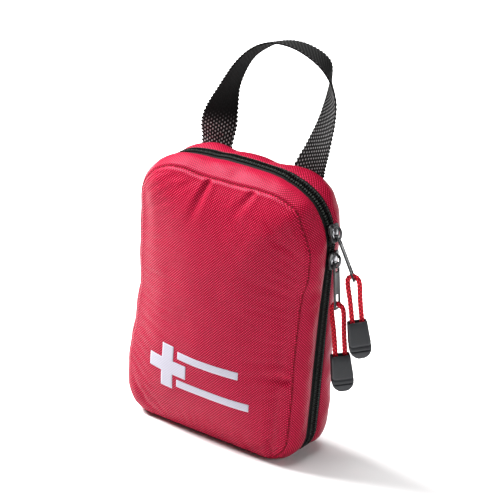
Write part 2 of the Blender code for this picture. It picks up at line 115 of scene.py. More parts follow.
def area_light(name, place, size, power):
    data = bpy.data.lights.new(name, "AREA")
    data.shape = "SQUARE"
    data.size = size
    data.energy = power
    light = in_scene(name, data)
    light.location = place
    light.rotation_mode = "QUATERNION"
    light.rotation_quaternion = (AIM - Vector(place)).to_track_quat("-Z", "Y")


def build_stage():
    """The studio: an even white sky, three lights and a pale floor."""
    world = bpy.data.worlds.new("studio")
    world.use_nodes = True
    background = world.node_tree.nodes["Background"]
    background.inputs["Color"].default_value = (1, 1, 1, 1)
    background.inputs["Strength"].default_value = 0.11
    bpy.context.scene.world = world
    bpy.context.scene.view_settings.view_transform = "Standard"
    for light in LIGHTS:
        area_light(*light)
    mesh = bpy.data.meshes.new("floor")
    corners = [(x * REACH, y * REACH, 0) for x, y in ((-1, -1), (1, -1), (1, 1), (-1, 1))]
    mesh.from_pydata(corners, [], [(0, 1, 2, 3)])
    floor = in_scene("floor", mesh)
    pale = {"Base Color": (0.93, 0.93, 0.93, 1), "Roughness": 0.9, "Specular IOR Level": 0.1}
    look = Look("pale_floor", pale)
    mesh.materials.append(look.material)


# ---- materials

class Look:
    """A material being made: its node tree, its Principled shader and short ways to add nodes."""

    def __init__(self, name, sockets):
        self.material = bpy.data.materials.new(name)
        self.material.use_nodes = True
        self.tree = self.material.node_tree
        self.shader = self.tree.nodes["Principled BSDF"]
        for socket, value in sockets.items():
            self.shader.inputs[socket].default_value = value

    def add(self, kind, inputs, **settings):
        node = self.tree.nodes.new(kind)
        for setting, value in settings.items():
            setattr(node, setting, value)
        for socket, value in inputs.items():
            if isinstance(value, bpy.types.NodeSocket):
                self.tree.links.new(value, node.inputs[socket])
            else:
                node.inputs[socket].default_value = value
        return node

    def weave(self):
        """Where a point lies on the flat cloth, in millimetres."""
        return self.add("ShaderNodeAttribute", {}, attribute_name="weave").outputs["Vector"]

    def place(self):
        """The point on the object, in millimetres."""
        where = self.add("ShaderNodeTexCoord", {}).outputs["Object"]
        return self.vector("MULTIPLY", where, (1000, 1000, 1000))

    def vector(self, operation, a, b):
        return self.add("ShaderNodeVectorMath", {0: a, 1: b}, operation=operation).outputs[0]

    def math(self, operation, a, b=0.0):
        return self.add("ShaderNodeMath", {0: a, 1: b}, operation=operation).outputs[0]

    def wave(self, where, direction, period):
        """A sine from 0 to 1 along a direction, with a period in the units of where."""
        way = Vector(direction).normalized() * (2 * math.pi / period)
        inputs = {0: where, 1: way}
        phase = self.add("ShaderNodeVectorMath", inputs, operation="DOT_PRODUCT").outputs["Value"]
        return self.math("MULTIPLY", self.math("ADD", self.math("SINE", phase), 1.0), 0.5)

    def noise(self, where, scale, detail=2.0):
        inputs = {"Vector": where, "Scale": scale, "Detail": detail}
        return self.add("ShaderNodeTexNoise", inputs).outputs["Fac"]

    def mix(self, share, one, two):
        one, two = ((*value, 1) if isinstance(value, tuple) else value for value in (one, two))
        return self.add("ShaderNodeMix", {0: share, 6: one, 7: two}, data_type="RGBA").outputs[2]

    def spread(self, value, low, high, to_low=0.0, to_high=1.0):
        inputs = {0: value, 1: low, 2: high, 3: to_low, 4: to_high}
        return self.add("ShaderNodeMapRange", inputs).outputs[0]

    def colour(self, source):
        self.tree.links.new(source, self.shader.inputs["Base Color"])

    def roughness(self, source):
        self.tree.links.new(source, self.shader.inputs["Roughness"])

    def bump(self, height, distance, strength=1.0):
        inputs = {"Height": height, "Distance": distance, "Strength": strength}
        self.tree.links.new(self.add("ShaderNodeBump", inputs).outputs[0], self.shader.inputs["Normal"])


def twill_height(look, where):
    """Diagonal ridges, cut into single yarns across them."""
    ridges = look.wave(where, (1, -0.92, 0), 1.12)
    yarns = look.wave(where, (1, 1.05, 0), 1.0)
    cut = look.spread(yarns, 0.1, 0.9, 0.2, 1.0)
    return look.math("MULTIPLY", ridges, cut)


def cloth_look():
    """Red polyester twill: painted highlight on each yarn's top over painted shade in the deep red valleys,
    with a faint tinted shine.
    """
    sheen = {"Roughness": 0.40, "Specular IOR Level": 0.1, "Specular Tint": (0.9, 0.7, 1.0, 1)}
    look = Look("red_twill", sheen)
    where = look.weave()
    height = twill_height(look, where)
    patch = look.noise(where, 0.06, 3.0)
    fibre = look.noise(where, 2.2, 2.0)
    # Painted shade in the twill's valleys (deep) and painted highlights on its yarn tops, mixed by the yarn
    # height.
    deep = look.mix(patch, (0.11, 0.0004, 0.004), (0.15, 0.0006, 0.006))
    highlit_red = look.mix(patch, (0.78, 0.017, 0.090), (0.86, 0.025, 0.112))
    highlight_share = look.math("POWER", height, 1.5)
    share = look.math("MULTIPLY", highlight_share, look.spread(fibre, 0.3, 0.7, 0.7, 1.1))
    look.colour(look.mix(share, deep, highlit_red))
    look.bump(height, 0.16 * MM, 0.9)
    return look.material


def print_look():
    """White screen print, through which the twill still shows."""
    look = Look("white_print", {"Roughness": 0.5, "Specular IOR Level": 0.4})
    where = look.weave()
    height = twill_height(look, where)
    # Painted shade and highlight: the print is painted darker in the twill's valleys and lighter on its
    # ridges.
    look.colour(look.mix(height, (0.30, 0.29, 0.345), (0.38, 0.37, 0.435)))
    look.bump(height, 0.06 * MM, 0.7)
    return look.material


def tape_look():
    """Black woven tape: fine herringbone along its length."""
    look = Look("zip_tape", {"Roughness": 0.75, "Specular IOR Level": 0.15})
    where = look.weave()
    ribs = look.wave(where, (0.5, 1, 0), 0.7)
    picks = look.wave(where, (1, -0.4, 0), 0.8)
    height = look.math("MULTIPLY", ribs, picks)
    # Painted shade and highlight: the tape is painted darker in the weave's valleys and lighter on its tops.
    look.colour(look.mix(height, (0.001, 0.001, 0.001), (0.012, 0.012, 0.0125)))
    look.bump(height, 0.10 * MM)
    return look.material


def yarn_look(name, dark, light, roughness, scale=6.0, power=1.0, specular=0.12):
    """Yarn whose height is in the mesh: painted shade in the valleys and painted highlight on each yarn's
    top, with fine fibres.
    """
    look = Look(name, {"Roughness": roughness, "Specular IOR Level": specular})
    # Painted light from the mesh: low values give painted shade in the valleys, high values painted
    # highlights on the yarn tops.
    woven = look.add("ShaderNodeAttribute", {}, attribute_name="relief_and_painted_light").outputs["Fac"]
    relief_and_painted_light = look.math("POWER", woven, power)
    where = look.place()
    fibre = look.noise(where, scale, 3.0)
    share = look.math("MULTIPLY", relief_and_painted_light, look.spread(fibre, 0.3, 0.7, 0.55, 1.15))
    look.colour(look.mix(share, dark, light))
    look.bump(fibre, 0.05 * MM, 0.6)
    return look.material


def moulded_look(name, colour, worn, roughness, metallic=0.0, coat=0.0, grain=3.0, specular=0.5):
    """Plastic, lacquer or metal with a fine grain and lighter worn edges."""
    coated = {"Coat Weight": coat, "Coat Roughness": 0.15}
    look = Look(name, {"Metallic": metallic, "Specular IOR Level": specular, **coated})
    where = look.place()
    speckle = look.noise(where, grain, 4.0)
    broad = look.noise(where, 0.25, 3.0)
    edge = look.add("ShaderNodeNewGeometry", {}).outputs["Pointiness"]
    wear = look.math("MULTIPLY", look.spread(edge, 0.52, 0.60), look.spread(broad, 0.4, 0.65))
    tone = look.mix(look.spread(speckle, 0.35, 0.7, 0.0, 0.35), colour, worn)
    look.colour(look.mix(wear, tone, worn))
    look.roughness(look.spread(broad, 0.3, 0.7, roughness - 0.06, roughness + 0.1))
    look.bump(speckle, 0.02 * MM, 0.5)
    return look.material


# ---- mesh helpers

def grid_faces(index, wrap=False, caps=False, flip=False):
    """The faces of a grid of point numbers. wrap joins the last column to the first."""
    left = index if wrap else index[:, :-1]
    right = np.roll(index, -1, axis=1) if wrap else index[:, 1:]
    faces = np.stack([left[:-1], right[:-1], right[1:], left[1:]], -1).reshape(-1, 4).tolist()
    if caps:
        faces += [index[0][::-1].tolist(), index[-1].tolist()]
    return [face[::-1] for face in faces] if flip else faces


def numbered(rows, columns, first=0):
    """A grid of point numbers that counts up from first, row by row."""
    return first + np.arange(rows * columns).reshape(rows, columns)


def surface(name, points, weave=None, relief_and_painted_light=None, wrap=False, caps=False):
    """A mesh through a grid of points (rows, columns, xyz)."""
    points = np.asarray(points, float)
    faces = grid_faces(numbered(*points.shape[:2]), wrap, caps)
    return mesh_piece(name, points, faces, weave, relief_and_painted_light)


def mesh_piece(name, points, faces, weave=None, relief_and_painted_light=None):
    """A mesh. weave is the place of each point on the flat cloth; the last argument sets the share of
    painted highlight against painted shade at each point, mostly after the height of its yarn.
    """
    mesh = bpy.data.meshes.new(name)
    mesh.from_pydata(np.asarray(points, float).reshape(-1, 3).tolist(), [], faces)
    if weave is not None:
        values = np.zeros((len(mesh.vertices), 3), np.float32)
        values[:, :2] = np.asarray(weave, float).reshape(-1, 2)
        mesh.attributes.new("weave", "FLOAT_VECTOR", "POINT").data.foreach_set("vector", values.ravel())
    if relief_and_painted_light is not None:
        values = np.asarray(relief_and_painted_light, np.float32).ravel()
        mesh.attributes.new("relief_and_painted_light", "FLOAT", "POINT").data.foreach_set("value", values)
    mesh.shade_smooth()
    mesh.update()
    return in_scene(name, mesh)


def joined(name, grids):
    """One mesh out of several grids of points, each wrapped round and capped."""
    points, faces, first = [], [], 0
    for grid in grids:
        grid = np.asarray(grid, float)
        faces += grid_faces(numbered(*grid.shape[:2], first), wrap=True, caps=True)
        points.append(grid.reshape(-1, 3))
        first += len(points[-1])
    return mesh_piece(name, np.concatenate(points), faces)


def finish_piece(piece, look, body, nodes=()):
    """Gives a piece its material and its body, and hides the CAD nodes it stands for."""
    piece.data.materials.append(look)
    if nodes:
        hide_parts(*nodes)
    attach(piece, body)


def thicken(piece, thickness, offset=-1.0):
    solid = piece.modifiers.new("thickness", "SOLIDIFY")
    solid.thickness = thickness
    solid.offset = offset


def soft(piece, thickness):
    """A sheet of cloth with its thickness, rounded."""
    thicken(piece, thickness)
    smooth = piece.modifiers.new("smooth", "SUBSURF")
    smooth.levels = smooth.render_levels = 1
    return piece


def bevelled(piece, width):
    bevel = piece.modifiers.new("edges", "BEVEL")
    bevel.width = width
    bevel.segments = 2
    bevel.limit_method = "ANGLE"
    bevel.angle_limit = SHARP
    piece.data.set_sharp_from_angle(angle=SHARP)


def unit(rows):
    """Each row scaled to a length of one."""
    return rows / np.linalg.norm(rows, axis=1)[:, None]


def frames_along(path):
    """A normal and a side for each point of a path, turned as little as possible from one to the next."""
    along = unit(np.gradient(path, axis=0))
    normal = np.cross(along[0], (0.0, 0.0, 1.0))
    if np.linalg.norm(normal) < 0.2:
        normal = np.cross(along[0], (0.0, 1.0, 0.0))
    normals = []
    for way in along:
        normal = normal - way * normal.dot(way)
        normal = normal / np.linalg.norm(normal)
        normals.append(normal)
    normals = np.array(normals)
    return normals, np.cross(along, normals)


def tube(path, radius, sides):
    """Rings round a path. The radius is a number, or an array of (points, sides)."""
    path = np.asarray(path, float)
    normals, others = frames_along(path)
    turn = np.linspace(0, 2 * math.pi, sides, endpoint=False)
    radius = np.broadcast_to(np.asarray(radius, float), (len(path), sides))
    ring = normals[:, None] * np.cos(turn)[:, None] + others[:, None] * np.sin(turn)[:, None]
    return path[:, None] + ring * radius[..., None]


def smooth_through(points, steps):
    """A Catmull-Rom curve through rows of numbers, with this many steps between two rows."""
    rows = np.asarray([points[0], *points, points[-1]], float)
    curve = []
    for a, b, c, d in zip(rows, rows[1:], rows[2:], rows[3:]):
        for step in range(steps):
            t = step / steps
            bend = (2 * a - 5 * b + 4 * c - d) * t**2 + (3 * b - a - 3 * c + d) * t**3
            curve.append(b + 0.5 * ((c - a) * t + bend))
    curve.append(rows[-1])
    return np.array(curve)


def distances(points):
    """How far along a path each of its points lies."""
    return np.concatenate([[0], np.cumsum(np.linalg.norm(np.diff(points, axis=0), axis=1))])


def resampled(path, spacing):
    """A path with evenly spaced points, and the distance along it of each."""
    length = distances(path[:, :3])
    count = max(2, int(round(length[-1] / spacing)) + 1)
    at = np.linspace(0, length[-1], count)
    return np.stack([np.interp(at, length, path[:, k]) for k in range(path.shape[1])], 1), at


def wobble(places, scale, seed=0.0):
    """Smooth noise from -1 to 1 at each place (rows of x, y)."""
    return np.array([noise.noise(Vector((x / scale, y / scale, seed))) for x, y in places])


# ---- the seam outline

def dense_outline():
    """The seam outline from the middle of the bottom, clockwise seen from the front.

    The distance along it of each point, and rows of x, z, outward x and outward z.
    """
    low_x, low_z = HALF_WIDTH - BOTTOM_RADIUS, SEAM_LOW + BOTTOM_RADIUS
    high_x, high_z = HALF_WIDTH - TOP_RADIUS, SEAM_TOP - TOP_RADIUS
    rows = [(0.0, SEAM_LOW, 0.0, -1.0)]
    for x, z, radius, start in (
        (-low_x, low_z, BOTTOM_RADIUS, 270),
        (-high_x, high_z, TOP_RADIUS, 180),
        (high_x, high_z, TOP_RADIUS, 90),
        (low_x, low_z, BOTTOM_RADIUS, 0),
    ):
        for step in range(31):
            angle = math.radians(start - 3 * step)
            out_x, out_z = math.cos(angle), math.sin(angle)
            rows.append((x + radius * out_x, z + radius * out_z, out_x, out_z))
    rows = np.array([*rows, rows[0]])
    length = distances(rows[:, :2])
    at = np.linspace(0, length[-1], int(length[-1] / (0.5 * MM)))
    return at, np.stack([np.interp(at, length, rows[:, k]) for k in range(4)], 1)


RIM_AT, RIM = dense_outline()
RIM_LENGTH = RIM_AT[-1]
ZIP_ENDS = (BOTTOM_HALF, RIM_LENGTH - BOTTOM_HALF)


def rim(at):
    """Points and outward directions on the seam outline, at distances along it."""
    rows = np.stack([np.interp(at, RIM_AT, RIM[:, k]) for k in range(4)], 1)
    return rows[:, :2], unit(rows[:, 2:])


# How far soft use has pushed the outline outwards, in mm: distance along it, then the push.
FRONT_WAVE = (
    (50, 0), (63, 0.5), (76, 1.3), (89, 0), (98, -1.4), (108, -1.6), (121, -2.8), (139, -1.0), (160, 0.2),
    (180, 2.0), (188, 1.5), (198, 0.2), (206, -1.0), (219, -1.9), (238, -1.0), (257, 0.4), (274, 0.6),
    (281, 1.4), (290, -0.8), (296, -0.5), (306, 1.7), (318, 1.8), (330, -0.6), (338, -1.2), (370, -1.5),
    (388, -0.7), (420, -0.8), (437, 0),
)
ZIP_WAVE = ((207, 0), (217, 1.0), (229, 2.5), (242, 3.0), (255, 3.0), (261, 2.4), (268, 0.6), (275, 0))
BACK_WAVE = (
    (200, 0), (212, 0.3), (222, -1.5), (232, 0.3), (241, 0.3), (247, -0.9), (252, 0.2), (260, 2.0),
    (270, 2.2), (278, 1.2), (288, -1.8), (296, -4.2), (303, -5.0), (314, -5.0), (328, -4.6), (340, -4.0),
    (352, -3.2), (370, -1.6), (386, -0.2), (404, 0.6), (420, 0),
)


def wave(points, at):
    """A curve through (distance, push) points in mm, eased between them, at distances in metres."""
    places, pushes = np.array(points, float).T
    at = np.asarray(at) / MM
    k = np.clip(np.searchsorted(places, at) - 1, 0, len(places) - 2)
    t = np.clip((at - places[k]) / (places[k + 1] - places[k]), 0, 1)
    return (pushes[k] + (pushes[k + 1] - pushes[k]) * t * t * (3 - 2 * t)) * MM


def push(at, y):
    """How far outwards the soft pouch stands from its outline, at a distance along it and a depth y."""
    front = np.clip((ZIP_Y - y) / (ZIP_Y - FRONT_Y), 0, 1)
    back = np.clip((y - ZIP_Y) / (BACK_Y - ZIP_Y), 0, 1)
    front, back = front**2 * (3 - 2 * front), back**2 * (3 - 2 * back)
    middle = (1 - front - back) * wave(ZIP_WAVE, at)
    return front * wave(FRONT_WAVE, at) + back * wave(BACK_WAVE, at) + middle


def on_wall(at, y, out, share):
    """Points beside the seam outline: at y, moved outwards, less the share of what the zip draws in."""
    place, way = rim(at)
    drawn = share * SINK * np.maximum(0.0, -way[:, 1]) ** 2
    moved = place + way * (out + push(at, y) - drawn)[:, None]
    return np.stack([moved[:, 0], y, moved[:, 1]], 1)


def wall_grid(at, profile):
    """Carries a profile of (y, out, share) round the wall: rows across, columns along."""
    ones = np.ones(len(at))
    return np.array([on_wall(at, ones * y, ones * out, share) for y, out, share in profile])


# ---- cloth

SIM_SCALE = 10.0  # the cloth is simulated ten times as large, where Blender's settings act as meant
CLOTH_SETTINGS = {
    "quality": 6, "mass": 0.05, "tension_stiffness": 15, "compression_stiffness": 15,
    "shear_stiffness": 5, "bending_stiffness": 0.6, "use_pressure": True, "uniform_pressure_force": 4.0,
    "vertex_group_mass": "pinned",
}


def relax(points, faces, pinned, grow, frames, cap):
    """Lets a pinned sheet settle under pressure, and returns its points, none moved by more than cap."""
    mesh = bpy.data.meshes.new("sheet")
    mesh.from_pydata((points * SIM_SCALE).tolist(), [], faces)
    sheet = in_scene("sheet", mesh)
    group = sheet.vertex_groups.new(name="pinned")
    group.add([int(i) for i in pinned], 1.0, "REPLACE")
    cloth = sheet.modifiers.new("cloth", "CLOTH")
    for setting, value in CLOTH_SETTINGS.items():
        setattr(cloth.settings, setting, value)
    cloth.settings.effector_weights.gravity = 0
    cloth.settings.shrink_min = -grow
    cloth.collision_settings.use_collision = False
    cloth.point_cache.frame_start = 1
    cloth.point_cache.frame_end = frames
    for step in range(1, frames + 1):
        bpy.context.scene.frame_set(step)
    evaluated = sheet.evaluated_get(bpy.context.evaluated_depsgraph_get())
    settled = np.array([v.co for v in evaluated.data.vertices]) / SIM_SCALE
    bpy.data.objects.remove(sheet)
    bpy.context.scene.frame_set(1)
    move = settled - points
    far = np.linalg.norm(move, axis=1)
    move *= np.minimum(1.0, cap / np.maximum(far, 1e-9))[:, None]
    return points + move


def corner_shift(x, z, inset):
    """From a point on the rectangle round the panel to the rounded outline."""
    middle = (SEAM_LOW + SEAM_TOP) / 2
    radius = (TOP_RADIUS if z > middle else BOTTOM_RADIUS) - inset
    edge_x = HALF_WIDTH - inset - radius
    edge_z = (SEAM_TOP - SEAM_LOW) / 2 - inset - radius
    over_x, over_z = abs(x) - edge_x, abs(z - middle) - edge_z
    if over_x <= 0 or over_z <= 0:
        return 0.0, 0.0
    pull = 1 - radius / math.hypot(over_x, over_z)
    return -math.copysign(over_x * pull, x), -math.copysign(over_z * pull, z - middle)


PANEL_EDGE = 2.6 * MM  # the rolled edge of a panel, made beyond the simulated grid
PANEL_CELLS = (64, 92)
FRONT_CROWN, BACK_CROWN = 7.2 * MM, 0.8 * MM  # how far the middle of a panel stands out
# Rings of the rolled edge, in mm: how far in from the seam outline, and how far out from the seam.
EDGE_RINGS = ((1.7, 2.35), (1.0, 1.85), (0.45, 1.2), (0.12, 0.5), (0.0, -0.3), (0.3, -1.0), (0.9, -1.6))


def panel_grid(inset):
    """x and z of a grid that fills the rounded outline, and how near each point is to the rim (1 on it)."""
    across, up = PANEL_CELLS
    half_x, half_z = HALF_WIDTH - inset, (SEAM_TOP - SEAM_LOW) / 2 - inset
    middle = (SEAM_LOW + SEAM_TOP) / 2
    grid = np.zeros((up + 1, across + 1, 3))
    for j in range(up + 1):
        for i in range(across + 1):
            u, v = 2 * i / across - 1, 2 * j / up - 1
            reach = max(abs(u), abs(v), 1e-6)
            shift = corner_shift(u / reach * half_x, middle + v / reach * half_z, inset)
            x = u * half_x + shift[0] * reach**3
            z = middle + v * half_z + shift[1] * reach**3
            grid[j, i] = x, z, (abs(u) ** 5 + abs(v) ** 5) ** 0.2
    return grid


def border_loop():
    """Row and column of each border point of the panel grid, in order round it."""
    across, up = PANEL_CELLS
    loop = [(0, i) for i in range(across)] + [(j, across) for j in range(up)]
    loop += [(up, i) for i in range(across, 0, -1)] + [(j, 0) for j in range(up, 0, -1)]
    return np.array(loop)


def valley(x, z, start, end, depth, width):
    """A crease that opens at start and fades at end, with a low lip on each side. Depth below the cloth."""
    way = np.array(end) - np.array(start)
    length = np.linalg.norm(way)
    way = way / length
    along = ((x - start[0]) * way[0] + (z - start[1]) * way[1]) / length
    beside = np.abs((x - start[0]) * way[1] - (z - start[1]) * way[0])
    fade = np.clip(1 - along, 0, 1) ** 1.2 * np.clip(1 + along * 6, 0, 1)
    spread = width * (0.7 + 1.0 * np.clip(along, 0, 1))
    lips = np.exp(-(((beside - 2.0 * spread) / spread) ** 2))
    return depth * fade * (np.exp(-((beside / spread) ** 2)) - 0.3 * lips)


# Folds of the printed front, in mm: from, to, depth and width. The first two are gathers at the top seam.
FRONT_FOLDS = (
    ((-10.5, 152.5), (-16.5, 122), 2.6, 1.8),
    ((19.0, 153), (7.0, 133), 1.9, 1.7),
    ((54, 53), (33, 50), 2.4, 2.2),
    ((43.5, 6), (47, 132), 1.5, 2.4),
    ((44, 128), (30, 30), 1.6, 11.0),
    ((-49, 128), (-43, 40), 0.9, 6.0),
    ((30, 0), (26, 22), 0.7, 3.0),
)
BACK_FOLDS = (
    ((-14, 154), (-17, 130), 1.0, 2.2),
    ((8, 154), (11, 136), 0.9, 2.0),
    ((-54, 60), (-34, 56), 0.7, 2.5),
    ((54, 90), (36, 84), 0.7, 2.5),
)


def rolled_edge(border, seam_y, way, seed):
    """Rings of points from the border of a panel round to its seam, slightly puckered."""
    length = np.linalg.norm(np.diff(border, axis=0, append=border[:1]), axis=1)
    pucker = np.array([noise.noise(Vector((a / (3.4 * MM), seed, 0))) for a in np.cumsum(length)])
    outward = nearest_rim(border)[1]
    lift = border[:, 1] - (seam_y + way * PANEL_EDGE)
    rings = []
    for inset, height in EDGE_RINGS:
        puckered = pucker * (height > 0)
        ring = border.copy()
        ring[:, [0, 2]] += outward * (PANEL_EDGE - inset * MM + 0.12 * MM * puckered)[:, None]
        ring[:, 1] = seam_y + way * (height + 0.16 * puckered) * MM + lift * max(0.0, height) / 2.6
        rings.append(ring)
    return rings


def build_panel(name, seam_y, way, crown, folds, grow, seed):
    """A panel of cloth: simulated over its whole face, with folds and a rolled edge."""
    grid = panel_grid(PANEL_EDGE)
    x, z, reach = grid[..., 0], grid[..., 1], grid[..., 2]
    rise = PANEL_EDGE + crown * (1 - np.clip(reach, 0, 1) ** 2.2)
    points = np.stack([x, seam_y + way * rise, z], -1)
    index = numbered(*x.shape)
    faces = grid_faces(index, flip=way > 0)
    loop = border_loop()
    pinned = index[loop[:, 0], loop[:, 1]]
    relaxed = relax(points.reshape(-1, 3), faces, pinned, grow, frames=24, cap=4.5 * MM)
    settled = relaxed.reshape(points.shape)
    inward = sum(valley(x / MM, z / MM, *fold) * MM for fold in folds)
    places = np.stack([x.ravel(), z.ravel()], 1) / MM
    lumps = wobble(places, 22.0, seed) * 0.5 + wobble(places, 9.0, seed + 5) * 0.16
    ease = np.clip((1 - reach) * 6, 0, 1)
    settled[..., 1] += way * (lumps.reshape(x.shape) * ease * MM - inward)
    near, outward = nearest_rim(settled.reshape(-1, 3))
    shift = wave(FRONT_WAVE if way < 0 else BACK_WAVE, near) * np.clip(reach.ravel(), 0, 1) ** 4
    settled[..., [0, 2]] += (shift[:, None] * outward).reshape(*x.shape, 2)
    rings = rolled_edge(settled[loop[:, 0], loop[:, 1]], seam_y, way, seed)
    ring_index = np.concatenate([[pinned], numbered(len(rings), len(loop), x.size)])
    for a, b, c, d in grid_faces(ring_index, wrap=True):
        faces.append([a, d, c, b] if way < 0 else [b, c, d, a])
    points = np.concatenate([settled.reshape(-1, 3), *rings])
    return soft(mesh_piece(name, points, faces, points[:, [0, 2]] / MM), CLOTH)


def nearest_rim(points):
    """The distance along the seam outline nearest to each point, and the outward direction there."""
    gaps = np.linalg.norm(points[:, None, [0, 2]] - RIM[None, ::2, :2], axis=2)
    at = RIM_AT[::2][gaps.argmin(axis=1)]
    return at, rim(at)[1]


ZIP_GAP = 5.4 * MM  # from the middle of the zip to the folded edge of a wall
WALL_BOW = 1.5 * MM  # how far a wall bows out between its edges
SEAM_FOLD = ((0.7, -2.2), (0.3, -1.6), (0.2, -0.5), (0.35, 0.6), (0.75, 1.5))  # from the seam and out, in mm
ZIP_FOLD = ((0.25, -0.1), (0.3, -0.5), (0.0, -0.75), (-2.0, -0.75))  # from the folded edge and out, in mm


def build_wall(name, seam_y, way, seed):
    """A side wall from a seam to the zip: simulated between its sewn edges, and folded under at the zip."""
    at = np.linspace(*ZIP_ENDS, 300)
    zip_y = ZIP_Y - way * ZIP_GAP
    near_y, near_out = seam_y + way * 1.3 * MM, 1.9 * MM
    across = np.linspace(0, 1, 10)
    bows = [WALL_BOW * math.sin(math.pi * t) ** 0.7 for t in across]
    body = wall_grid(at, [
        (near_y + (zip_y - near_y) * t, near_out + (PUFF - near_out) * t + bow, 0.2 + 0.8 * t)
        for t, bow in zip(across, bows)
    ])
    index = numbered(*body.shape[:2])
    pinned = np.unique(np.concatenate([index[0], index[-1], index[:, 0], index[:, -1]]))
    faces = grid_faces(index, flip=way < 0)
    relaxed = relax(body.reshape(-1, 3), faces, pinned, grow=0.03, frames=16, cap=1.6 * MM)
    body = relaxed.reshape(body.shape)
    for _ in range(6):  # evens out the simulated ripples along the wall
        body[:, 1:-1] = (body[:, :-2] + 2 * body[:, 1:-1] + body[:, 2:]) / 4
    places = np.stack([at / MM, np.zeros_like(at)], 1)
    slow, quick = wobble(places, 9.0, seed), wobble(places, 2.6, seed + 3)
    outward = rim(at)[1]
    for row, t in zip(body, across):
        ripple = (0.4 * slow * math.sin(math.pi * t) + 0.08 * quick * (1 - t) ** 2) * MM
        row[:, [0, 2]] += outward * ripple[:, None]
    seam_side = [(seam_y + way * over * MM, out * MM, 0.1) for over, out in SEAM_FOLD]
    zip_side = [(zip_y + way * over * MM, PUFF + out * MM, 1.0) for over, out in ZIP_FOLD]
    grid = np.concatenate([wall_grid(at, seam_side), body, wall_grid(at, zip_side)])
    over = distances(grid[:, len(at) // 2])
    weave = np.stack(np.broadcast_arrays(at / MM, over[:, None] / MM), -1)
    if way < 0:
        grid, weave = grid[:, ::-1], weave[:, ::-1]
    return soft(surface(name, grid, weave), WALL_CLOTH)


BOTTOM_EDGE = ((0.0, 3.2), (0.1, 1.9), (0.5, 0.9), (1.3, 0.35))  # in from a seam and up, in mm


def build_bottom():
    """The bottom piece between the two seams, which folds under the zip line."""
    half = BOTTOM_HALF + 0.6 * MM
    xs = np.linspace(-half, half, 80)
    profile = [(FRONT_Y + inset * MM, z) for inset, z in BOTTOM_EDGE]
    profile += [(y, 0.12) for y in np.linspace(FRONT_Y + 3 * MM, BACK_Y - 3 * MM, 16)]
    profile += [(BACK_Y - inset * MM, z) for inset, z in reversed(BOTTOM_EDGE)]
    grid = np.zeros((len(profile), len(xs), 3))
    for row, (y, z) in zip(grid, profile):
        lumps = 0.5 + 0.5 * wobble(np.stack([xs / MM, np.full_like(xs, y / MM)], 1), 5.0, 3.0)
        row[:, 0] = xs
        row[:, 1] = y
        row[:, 2] = (z + 0.45 * lumps) * MM
    grid = grid[:, ::-1]
    return soft(surface("bottom_cloth", grid, grid[..., :2] / MM), BOTTOM_CLOTH)


def build_cloth():
    red = cloth_look()
    front = build_panel("front_cloth", FRONT_Y, -1, FRONT_CROWN, FRONT_FOLDS, grow=0.012, seed=1.0)
    finish_piece(front, red, "front_half", ["front_panel"])
    back = build_panel("back_cloth", BACK_Y, 1, BACK_CROWN, BACK_FOLDS, grow=0.0, seed=8.0)
    finish_piece(back, red, "back_half", ["back_panel"])
    for side, y, way, seed in (("front", FRONT_Y, 1, 20.0), ("back", BACK_Y, -1, 31.0)):
        wall = build_wall(f"{side}_wall_cloth", y, way, seed)
        finish_piece(wall, red, f"{side}_half", [f"{side}_gusset"])
    bottom = build_bottom()
    bottom.data.materials.append(red)
    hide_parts("bottom_gusset_front", "bottom_gusset_rear")
    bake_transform(bottom)
    build_stitches()
    build_print(front)


STITCH_PITCH, STITCH_LENGTH, STITCH_RADIUS = 2.2 * MM, 1.5 * MM, 0.24 * MM
STITCH_BOW = 0.15 * MM + np.array([-0.5, 0.0, 0.1, 0.0, -0.5]) * MM  # outwards, from end to end


def build_stitches():
    """Thread in the two seams: one short stitch after another, sunk in the groove."""
    thread = moulded_look("red_thread", (0.10, 0.001, 0.005), (0.20, 0.004, 0.014), 0.7, specular=0.2)
    for side, y in (("front", FRONT_Y), ("back", BACK_Y)):
        stitches = []
        for k in range(int(RIM_LENGTH / STITCH_PITCH)):
            at = np.linspace(k * STITCH_PITCH, k * STITCH_PITCH + STITCH_LENGTH, len(STITCH_BOW))
            path = on_wall(at, np.full(len(at), y), STITCH_BOW, 0.0)
            stitches.append(tube(path, STITCH_RADIUS, 5))
        finish_piece(joined(f"{side}_seam_stitches", stitches), thread, f"{side}_half")


# ---- print

CROSS_AT = (-21.9, 39.9)
CROSS_ARM = 8.0
CROSS_SPAN = 25.8
BAR_LEFT = -15.0
BAR_HEIGHT = 4.4
BARS = (("upper_bar", 23.5, 46.6), ("lower_bar", 31.0, 29.4))  # name, right end and lower edge, in mm


def build_print(front):
    """A plain cross and two plain bars, as a thin film that follows the cloth."""
    white = print_look()
    tree = BVHTree.FromObject(front, bpy.context.evaluated_depsgraph_get())
    x, z = CROSS_AT
    half, arm = CROSS_SPAN / 2, CROSS_ARM / 2
    boxes = [(x - arm, z - half, x + arm, z + half), (x - half, z - arm, x + half, z + arm)]
    edges = (-half, -arm, arm, half)
    film("cross_film", boxes, [x + e for e in edges], [z + e for e in edges], tree, white, "cross_print")
    for name, right, low in BARS:
        ends = (low, low + BAR_HEIGHT)
        box = (BAR_LEFT, low, right, ends[1])
        film(f"{name}_film", [box], (BAR_LEFT, right), ends, tree, white, f"{name}_print")


def steps_between(edges):
    """Grid lines about a millimetre apart that include every edge."""
    lines = [np.linspace(a, b, max(1, round(b - a)) + 1)[:-1] for a, b in zip(edges, edges[1:])]
    return np.concatenate([*lines, [edges[-1]]])


